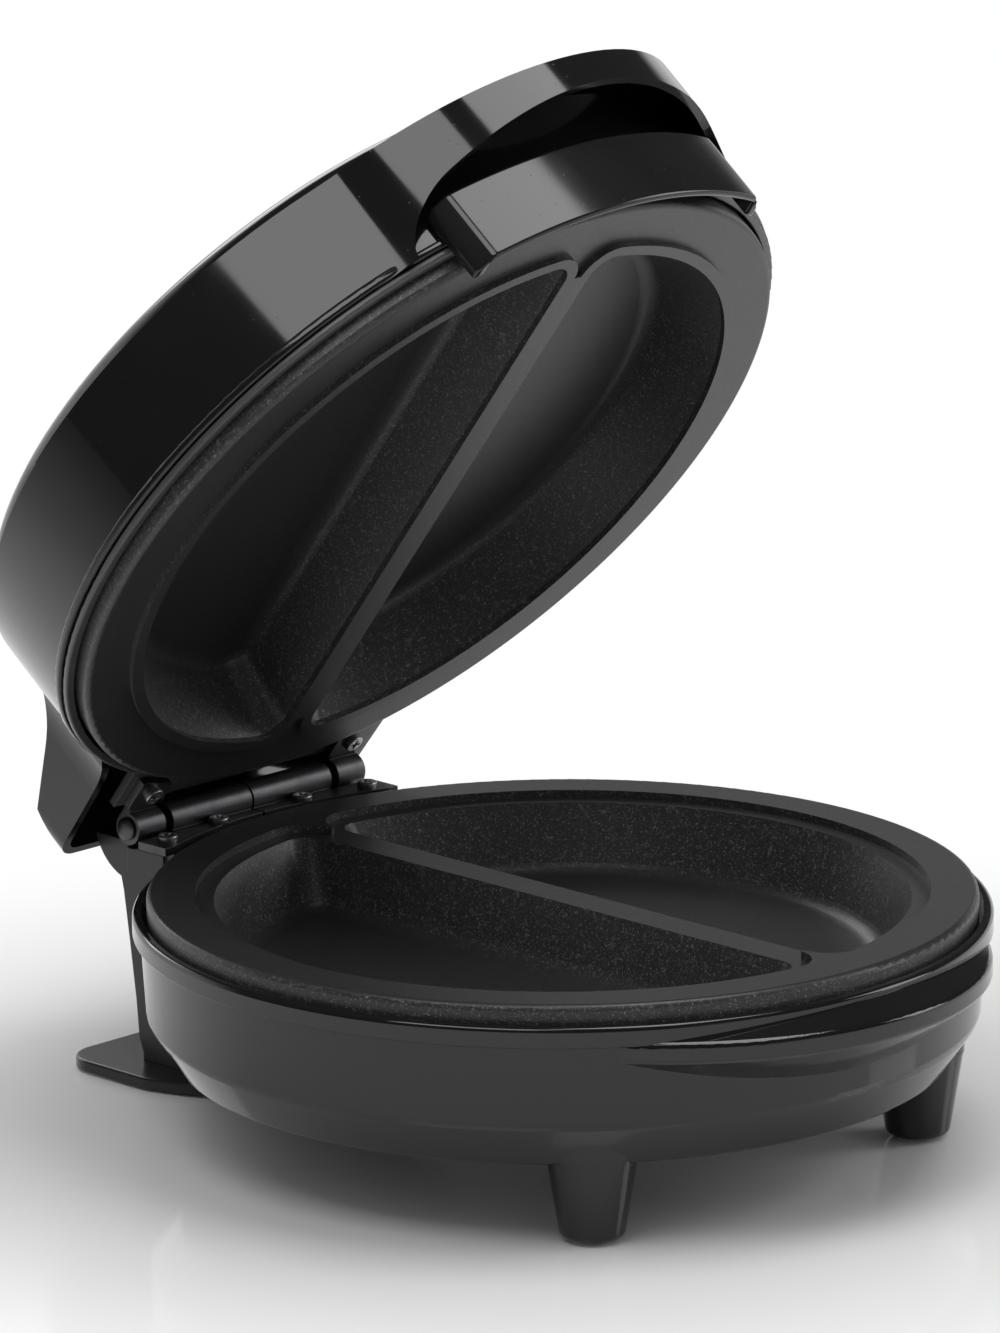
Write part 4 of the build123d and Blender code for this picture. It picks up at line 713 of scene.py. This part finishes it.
@dataclass(frozen=True)
class Turned:
    """Form turned from a profile; sizes are millimetres of radius and of height along its axis."""

    profile: Sequence[tuple[float, float]]
    closed: bool = False
    segments: int = 72
    start_deg: float = 0.0
    sweep_deg: float = 360.0

    def make(self, name: str, foot: Sequence[float], way: Sequence[float]) -> bpy.types.Object:
        """Turns the profile and smooths it.

        Args:
            name: Name of the new piece.
            foot: Where height 0 lies, in metres.
            way: Direction of the axis.

        Returns:
            The piece, linked to the scene.
        """
        form = bmesh.new()
        rings = [self._ring(form, radius * MM, height * MM) for radius, height in self.profile]
        pairs = list(zip(rings, rings[1:]))
        if self.closed:
            pairs.append((rings[-1], rings[0]))
        for low, high in pairs:
            self._skin(form, low, high)
        if self.sweep_deg < 360:
            form.faces.new([ring[0] for ring in rings])
            form.faces.new([ring[-1] for ring in rings])
        bmesh.ops.recalc_face_normals(form, faces=form.faces)
        mesh = bpy.data.meshes.new(name)
        form.to_mesh(mesh)
        form.free()
        turn = Vector((0, 0, 1)).rotation_difference(Vector(way)).to_matrix().to_4x4()
        mesh.transform(Matrix.Translation(foot) @ turn)
        mesh.polygons.foreach_set("use_smooth", [True] * len(mesh.polygons))
        piece = bpy.data.objects.new(name, mesh)
        bpy.context.scene.collection.objects.link(piece)
        round_edges(piece, 0.12)
        return piece

    def _ring(self, form: bmesh.types.BMesh, radius: float, height: float) -> list[bmesh.types.BMVert]:
        """Adds the points of one circle, or a single point on the axis.

        Args:
            form: The mesh being made.
            radius: Circle's radius in metres.
            height: Its height in metres.

        Returns:
            The new points.
        """
        if radius == 0:
            return [form.verts.new((0.0, 0.0, height))]
        count = self.segments if self.sweep_deg == 360 else self.segments + 1
        angles = [math.radians(self.start_deg + self.sweep_deg * step / self.segments) for step in range(count)]
        return [form.verts.new((radius * math.cos(a), radius * math.sin(a), height)) for a in angles]

    def _skin(self, form: bmesh.types.BMesh, low: list[bmesh.types.BMVert],
              high: list[bmesh.types.BMVert]) -> None:
        """Joins two circles, or a circle and a point, with faces.

        Args:
            form: The mesh being made.
            low: Points of the first.
            high: Points of the second.
        """
        for step in range(self.segments):
            after = (step + 1) % self.segments if self.sweep_deg == 360 else step + 1
            corners = [low[step % len(low)], low[after % len(low)],
                       high[after % len(high)], high[step % len(high)]]
            form.faces.new(list(dict.fromkeys(corners)))


def round_edges(piece: bpy.types.Object, radius_mm: float) -> None:
    """Rounds a piece's sharp edges and shades it by face area.

    Args:
        piece: The piece.
        radius_mm: Width of the rounding.
    """
    bevel = piece.modifiers.new("bevel", "BEVEL")
    bevel.width = radius_mm * MM
    bevel.segments = 3
    bevel.limit_method = "ANGLE"
    bevel.angle_limit = math.radians(28)
    piece.modifiers.new("even", "WEIGHTED_NORMAL").keep_sharp = True


@dataclass(frozen=True)
class LidPose:
    """Places on the lid, given with the lid shut and moved to where it stands open."""

    opening_deg: float = 52.5

    def place(self, x: float, ahead: float, above: float) -> Vector:
        """Turns a place with the lid.

        Args:
            x: Millimetres to the right of the middle.
            ahead: Millimetres in front of the hinge axis, lid shut.
            above: Millimetres above it, lid shut.

        Returns:
            The place in metres, lid open.
        """
        hinge = Vector(frame["record"]["behaviour"]["joints"][0]["pos_m"])
        return hinge + self._turn() @ Vector((x, -ahead, above)) * MM

    def axis(self) -> Vector:
        """Direction of the lid's own upright, lid open."""
        return self._turn() @ Vector((0.0, 0.0, 1.0))

    def _turn(self) -> Matrix:
        """Rotation of the open lid."""
        return Matrix.Rotation(math.radians(-self.opening_deg), 3, "X")


@dataclass
class SubAssembly:
    """Common part of the sub-assemblies."""

    wardrobe: Wardrobe

    def fit(self, piece: bpy.types.Object, body: Body, finish: Finish, slot: str, *stands_for: str) -> None:
        """Dresses a made piece and lets it ride on its body.

        Args:
            piece: The piece.
            body: The body that it moves with.
            finish: Its finish.
            slot: The record's material slot; not used.
            stands_for: Nodes that it replaces.
        """
        piece.data.materials.append(self.wardrobe.material(finish))
        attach(piece, body.value)
        if stands_for:
            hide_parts(*stands_for)
        LOG.info("made %s in %s", piece.name, finish.name)

    def dress(self) -> None:
        """Finishes the carried-over nodes; each sub-assembly has its own."""
        raise NotImplementedError

    def build(self) -> None:
        """Makes further pieces; most sub-assemblies have none."""


# ---------------------------------------------------------------- the object
@dataclass
class BaseMoulding(SubAssembly):
    """Gloss base: its smooth rim and the roots of its front feet."""

    plate_axis_y: float = -11.3134
    rim_r: float = 101.4
    rim_top: float = 55.7
    rim_bottom: float = 50.7
    upper_edge_r: float = 1.2
    lower_edge_r: float = 0.6
    skin: float = 0.01
    foot_x: float = 54.957
    foot_y: float = -74.311
    foot_r: float = 11.0
    foot_top: float = 22.2
    root_h: float = 4.0

    def dress(self) -> None:
        """Finishes the moulding."""
        self.wardrobe.dress(GLOSS_BLACK, "base_housing")

    def build(self) -> None:
        """Makes rim and roots."""
        inner = self.rim_r - self.upper_edge_r
        profile = [(inner - 0.4, self.rim_top - 0.6)]
        profile += corner((inner, self.rim_top - self.upper_edge_r), self.upper_edge_r + self.skin, 90)
        profile += corner((self.rim_r - self.lower_edge_r, self.rim_bottom + self.lower_edge_r),
                          self.lower_edge_r + self.skin, 0)
        profile += [(inner - 0.4, self.rim_bottom + 0.6)]
        rim = Turned(profile, closed=True, segments=288).make(
            "base_rim", (0.0, self.plate_axis_y * MM, 0.0), Way.UP.value)
        self.fit(rim, Body.BASE, GLOSS_BLACK, "gloss_body")
        low, high = self.foot_top - 1.0, self.foot_top + self.root_h
        root = Turned([(0.0, low), (self.foot_r, low), (self.foot_r, high), (0.0, high)])
        for side, x in (("right", self.foot_x), ("left", -self.foot_x)):
            piece = root.make(f"foot_root_{side}", (x * MM, self.foot_y * MM, 0.0), Way.UP.value)
            self.fit(piece, Body.BASE, GLOSS_BLACK, "gloss_body")


@dataclass
class LidMoulding(SubAssembly):
    """Gloss lid with the smooth bead at its wall's lower edge, and the grey lip of its frame."""

    pose: LidPose = LidPose()
    to_middle: float = 109.0
    bead_r: float = 101.7
    bead_low: float = 5.4
    bead_high: float = 7.7
    edge_r: float = 0.9
    depth: float = 1.4
    rear_half_w: float = 48.0

    def dress(self) -> None:
        """Finishes the mouldings."""
        self.wardrobe.dress(GLOSS_BLACK, "lid_shell")
        self.wardrobe.dress(LIP_GREY, "lid_frame")

    def build(self) -> None:
        """Makes the bead, which stops at the rear hood."""
        inner = self.bead_r - self.edge_r
        profile = [(self.bead_r - self.depth, self.bead_high)]
        profile += corner((inner, self.bead_high - self.edge_r), self.edge_r, 90)
        profile += corner((inner, self.bead_low + self.edge_r), self.edge_r, 0)
        profile += [(self.bead_r - self.depth, self.bead_low)]
        rear = math.degrees(math.acos(self.rear_half_w / self.bead_r))
        bead = Turned(profile, closed=True, segments=260, start_deg=180.0 - rear, sweep_deg=180.0 + 2 * rear)
        piece = bead.make("lid_bead", self.pose.place(0.0, self.to_middle, 0.0), self.pose.axis())
        self.fit(piece, Body.LID, GLOSS_BLACK, "gloss_body")


@dataclass
class LiftingBand(SubAssembly):
    """Curved band that lifts the lid: a channel, hollow from below and behind, on two posts."""

    pose: LidPose = LidPose()
    to_middle: float = 109.0
    inner_r: float = 102.2
    outer_r: float = 108.0
    low: float = -6.2
    high: float = 13.8
    half_w: float = 46.0
    wall: float = 2.0
    chamfer: float = 3.0
    edge_r: float = 0.9
    step: float = 1.6
    post_x: float = 28.0
    post_r: float = 2.6
    post_bore_r: float = 1.1
    post_drop: float = 2.6
    lid_r: float = 101.2

    def dress(self) -> None:
        """Finishes the screws."""
        self.wardrobe.dress(SCREW_STEEL, "handle_screws")

    def build(self) -> None:
        """Makes the channel and its posts."""
        form = bmesh.new()
        stations = self._stations(form)
        last = len(stations) - 1
        for place in range(last):
            near, far = stations[place], stations[place + 1]
            ends = "DG GF FA" if place in (0, last - 1) else "DE EF FA"
            for side in ("AB BC CD " + ends).split():
                form.faces.new([near[side[0]], near[side[1]], far[side[1]], far[side[0]]])
        for place, corners in ((0, "ABCDGF"), (last, "ABCDGF"), (1, "DEFG"), (last - 1, "DEFG")):
            form.faces.new([stations[place][corner] for corner in corners])
        loose = [vert for vert in form.verts if not vert.link_faces]
        bmesh.ops.delete(form, geom=loose, context="VERTS")
        bmesh.ops.recalc_face_normals(form, faces=form.faces)
        mesh = bpy.data.meshes.new("lifting_band")
        form.to_mesh(mesh)
        form.free()
        mesh.polygons.foreach_set("use_smooth", [True] * len(mesh.polygons))
        band = bpy.data.objects.new("lifting_band", mesh)
        bpy.context.scene.collection.objects.link(band)
        round_edges(band, self.edge_r)
        self.fit(band, Body.LID, GLOSS_BAND, "gloss_body", "handle_band")
        for side, x in (("right", self.post_x), ("left", -self.post_x)):
            self._post(side, x)

    def _stations(self, form: bmesh.types.BMesh) -> list[dict[str, bmesh.types.BMVert]]:
        """Adds the corners of the channel's section at each station across the band.

        Args:
            form: The mesh being made.

        Returns:
            Corners by letter: A to C outside, D to F inside the channel, G at the foot of the end walls.
        """
        inside = self.half_w - self.chamfer
        count = round(2 * inside / self.step)
        middle = [inside * (2 * place / count - 1) for place in range(count + 1)]
        across = [-self.half_w, *middle, self.half_w]
        roof = self.high - self.wall
        stations = []
        for x in across:
            outer = self.outer_r - (self.chamfer if abs(x) == self.half_w else 0.0)
            back = outer - self.wall if outer == self.outer_r else (outer + self.inner_r) / 2
            corners = {"A": (outer, self.low), "B": (outer, self.high), "C": (self.inner_r, self.high),
                       "D": (self.inner_r, roof), "E": (back, roof), "F": (back, self.low),
                       "G": (self.inner_r, self.low)}
            stations.append({letter: form.verts.new(self._spot(x, radius, above))
                             for letter, (radius, above) in corners.items()})
        return stations

    def _spot(self, x: float, radius: float, above: float) -> Vector:
        """Place on a circle round the plate's middle, lid open."""
        return self.pose.place(x, self.to_middle + math.sqrt(radius ** 2 - x ** 2), above)

    def _post(self, side: str, x: float) -> None:
        """Makes one screw post between the lid's wall and the band.

        Args:
            side: Word for its name.
            x: Its place across.
        """
        above = self.high - self.post_drop
        foot = self._spot(x, self.lid_r, above)
        tip = self._spot(x, self.outer_r - self.wall / 2, above)
        length = (tip - foot).length / MM
        section = [(self.post_bore_r, 0.0), (self.post_r, 0.0),
                   (self.post_r, length), (self.post_bore_r, length)]
        form = Turned(section, closed=True, segments=40)
        post = form.make(f"band_post_{side}", foot, (tip - foot).normalized())
        self.fit(post, Body.LID, GLOSS_BAND, "gloss_body", "handle_band")


@dataclass
class CookingPlates(SubAssembly):
    """Both coated plates and the screws that hold them."""

    pose: LidPose = LidPose()

    def dress(self) -> None:
        """Finishes the plates, each coating along its own plate's axis."""
        lower = NonstickCoating("nonstick_lower", (0.019, 0.019, 0.0195))
        # Painted light: the upper coating is the lower one made lighter, standing in for the light that the
        # upper plate catches.
        upper = NonstickCoating("nonstick_upper_painted_lighter", (0.025, 0.025, 0.0255), tuple(self.pose.axis()))
        self.wardrobe.dress(lower, "lower_cooking_plate")
        self.wardrobe.dress(upper, "upper_cooking_plate")
        self.wardrobe.dress(SCREW_STEEL, "lower_plate_screws", "upper_plate_screws")


@dataclass
class HingeSet(SubAssembly):
    """Butt hinge: four leaves, their screws and a riveted pin."""

    shaft_r: float = 2.0
    head_r: float = 2.8
    shaft_end: float = 38.4
    head_t: float = 1.0

    def dress(self) -> None:
        """Finishes leaves and screws."""
        self.wardrobe.dress(HINGE_STEEL, "base_hinge_leaf_right", "base_hinge_leaf_left",
                            "lid_hinge_leaf_right", "lid_hinge_leaf_left")
        self.wardrobe.dress(SCREW_STEEL, "base_hinge_screws", "lid_hinge_screws", "column_screws",
                            "rear_foot_screws")

    def build(self) -> None:
        """Makes the pin, its ends upset to low domes."""
        low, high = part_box("hinge_pin")
        middle = (Vector(low) + Vector(high)) / 2
        top = self.shaft_end + self.head_t
        dome = [(0.0, top), (0.5 * self.head_r, top - 0.08), (0.85 * self.head_r, top - 0.35),
                (self.head_r, top - 0.7), (self.head_r, self.shaft_end), (self.shaft_r, self.shaft_end)]
        far = [(radius, -height) for radius, height in reversed(dome)]
        pin = Turned((*dome, *far), segments=48).make("riveted_pin", middle, Way.RIGHT.value)
        self.fit(pin, Body.BASE, HINGE_STEEL, "hinge_steel", "hinge_pin")


@dataclass
class RearStand(SubAssembly):
    """Column behind the base, its foot and the ribbed bush of the cord inlet."""

    flange_r: float = 8.5
    neck_r: float = 6.5
    bore_r: float = 3.6
    flange_t: float = 2.5
    neck_l: float = 4.5
    rib_h: float = 0.35

    def dress(self) -> None:
        """Finishes column and foot."""
        self.wardrobe.dress(SATIN_BLACK, "rear_column")
        self.wardrobe.dress(SATIN_FOOT, "rear_foot")

    def build(self) -> None:
        """Makes the bush: neck, flange with two raised rings, and a flared bore."""
        low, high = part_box("cord_inlet_bush")
        seat = Vector(((low[0] + high[0]) / 2, high[1] - self.flange_t * MM, (low[2] + high[2]) / 2))
        face = self.flange_t
        groove = face - self.rib_h
        outer = self.flange_r
        flare = self.bore_r + 0.7
        profile = [(self.bore_r, -self.neck_l), (self.neck_r, -self.neck_l), (self.neck_r, 0.0),
                   (outer, 0.0), (outer, groove - 0.4), (outer - 0.4, groove)]
        for inner in (outer - 1.9, outer - 3.5):
            profile += [(inner + 1.1, groove), (inner + 0.9, face), (inner + 0.3, face), (inner, groove)]
        profile += [(flare, groove), (self.bore_r, groove - 0.9)]
        bush = Turned(profile, closed=True).make("ribbed_bush", seat, Way.REAR.value)
        self.fit(bush, Body.BASE, BUSH_RUBBER, "bush_rubber", "cord_inlet_bush")


@dataclass
class FootPads(SubAssembly):
    """Pale rubber pads under the four feet, each with a ring-shaped groove."""

    radius: float = 4.7
    height: float = 1.6
    groove_in: float = 1.6
    groove_out: float = 2.5
    groove_depth: float = 0.45

    def dress(self) -> None:
        """Nothing is carried over: every pad is made here."""

    def build(self) -> None:
        """Makes the pads of each foot pair."""
        for node in ("front_foot_pads", "rear_foot_pads"):
            low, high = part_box(node)
            reach = high[0] - self.radius * MM
            middle_y = (low[1] + high[1]) / 2
            for side, x in (("right", reach), ("left", -reach)):
                pad = self._form().make(f"{node}_{side}", (x, middle_y, 0.0), Way.UP.value)
                self.fit(pad, Body.BASE, PAD_RUBBER, "foot_rubber", node)

    def _form(self) -> Turned:
        """Profile of one pad, standing on its ring."""
        return Turned((
            (0.0, 0.12), (self.groove_in - 0.3, 0.12), (self.groove_in, self.groove_depth),
            (self.groove_out - 0.3, self.groove_depth), (self.groove_out, 0.0),
            (self.radius - 0.7, 0.0), (self.radius - 0.15, 0.22), (self.radius, 0.7),
            (self.radius, self.height), (0.0, self.height)))


@dataclass
class IndicatorLamps(SubAssembly):
    """Two domed lenses on the lid's top and the board under them."""

    pose: LidPose = LidPose()
    apart: float = 9.0
    ahead: float = 179.0
    above: float = 41.4
    radius: float = 3.0
    dome: float = 0.8
    flange_r: float = 4.0
    flange_top: float = -3.5
    flange_t: float = 0.8

    def dress(self) -> None:
        """Finishes the board."""
        self.wardrobe.dress(BOARD_GREEN, "lamp_board")

    def build(self) -> None:
        """Makes both lenses."""
        lenses = (("power_lens", -self.apart, RED_LENS, "lens_red", "power_lamp_lens"),
                  ("ready_lens", self.apart, GREEN_LENS, "lens_green", "ready_lamp_lens"))
        for name, x, finish, slot, node in lenses:
            top = self.pose.place(x, self.ahead, self.above)
            lens = Turned(self._profile(), segments=48).make(name, top, self.pose.axis())
            self.fit(lens, Body.LID, finish, slot, node)

    def _profile(self) -> list[tuple[float, float]]:
        """Dome, barrel and flange from the top down.

        Returns:
            The profile's points.
        """
        steps = 6
        arc = [(self.radius * math.sin(math.pi / 2 * step / steps),
                self.dome * (math.cos(math.pi / 2 * step / steps) - 1.0)) for step in range(steps + 1)]
        low = self.flange_top - self.flange_t
        return arc + [(self.radius, self.flange_top), (self.flange_r, self.flange_top),
                      (self.flange_r, low), (0.0, low)]


@dataclass
class HeatingParts(SubAssembly):
    """Elements, shields, clips, thermostat and fuse inside both halves."""

    def dress(self) -> None:
        """Finishes the heating parts."""
        self.wardrobe.dress(SHEATH_METAL, "lower_heating_element", "upper_heating_element")
        self.wardrobe.dress(CLIP_STEEL, "lower_element_clips", "upper_element_clips", "thermostat")
        self.wardrobe.dress(SHIELD_SHEET, "lower_heat_shield", "upper_heat_shield")
        self.wardrobe.dress(FUSE_CAN, "thermal_fuse")


@dataclass
class Leads(SubAssembly):
    """Inner leads and the ceramic terminal block."""

    def dress(self) -> None:
        """Finishes leads and block."""
        self.wardrobe.dress(SLEEVE, "base_wiring", "lid_wiring")
        self.wardrobe.dress(CERAMIC, "terminal_block")


SUB_ASSEMBLIES: tuple[type[SubAssembly], ...] = (
    BaseMoulding, LidMoulding, LiftingBand, CookingPlates, HingeSet,
    RearStand, FootPads, IndicatorLamps, HeatingParts, Leads)


def main() -> None:
    """Builds the sub-assemblies in order."""
    logging.basicConfig(level=logging.INFO, format="%(message)s")
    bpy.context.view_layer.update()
    Camera().build()
    Studio().build()
    wardrobe = Wardrobe()
    for kind in SUB_ASSEMBLIES:
        part = kind(wardrobe)
        part.dress()
        part.build()
        LOG.info("finished %s", kind.__name__)


if __name__ == "__main__":
    main()
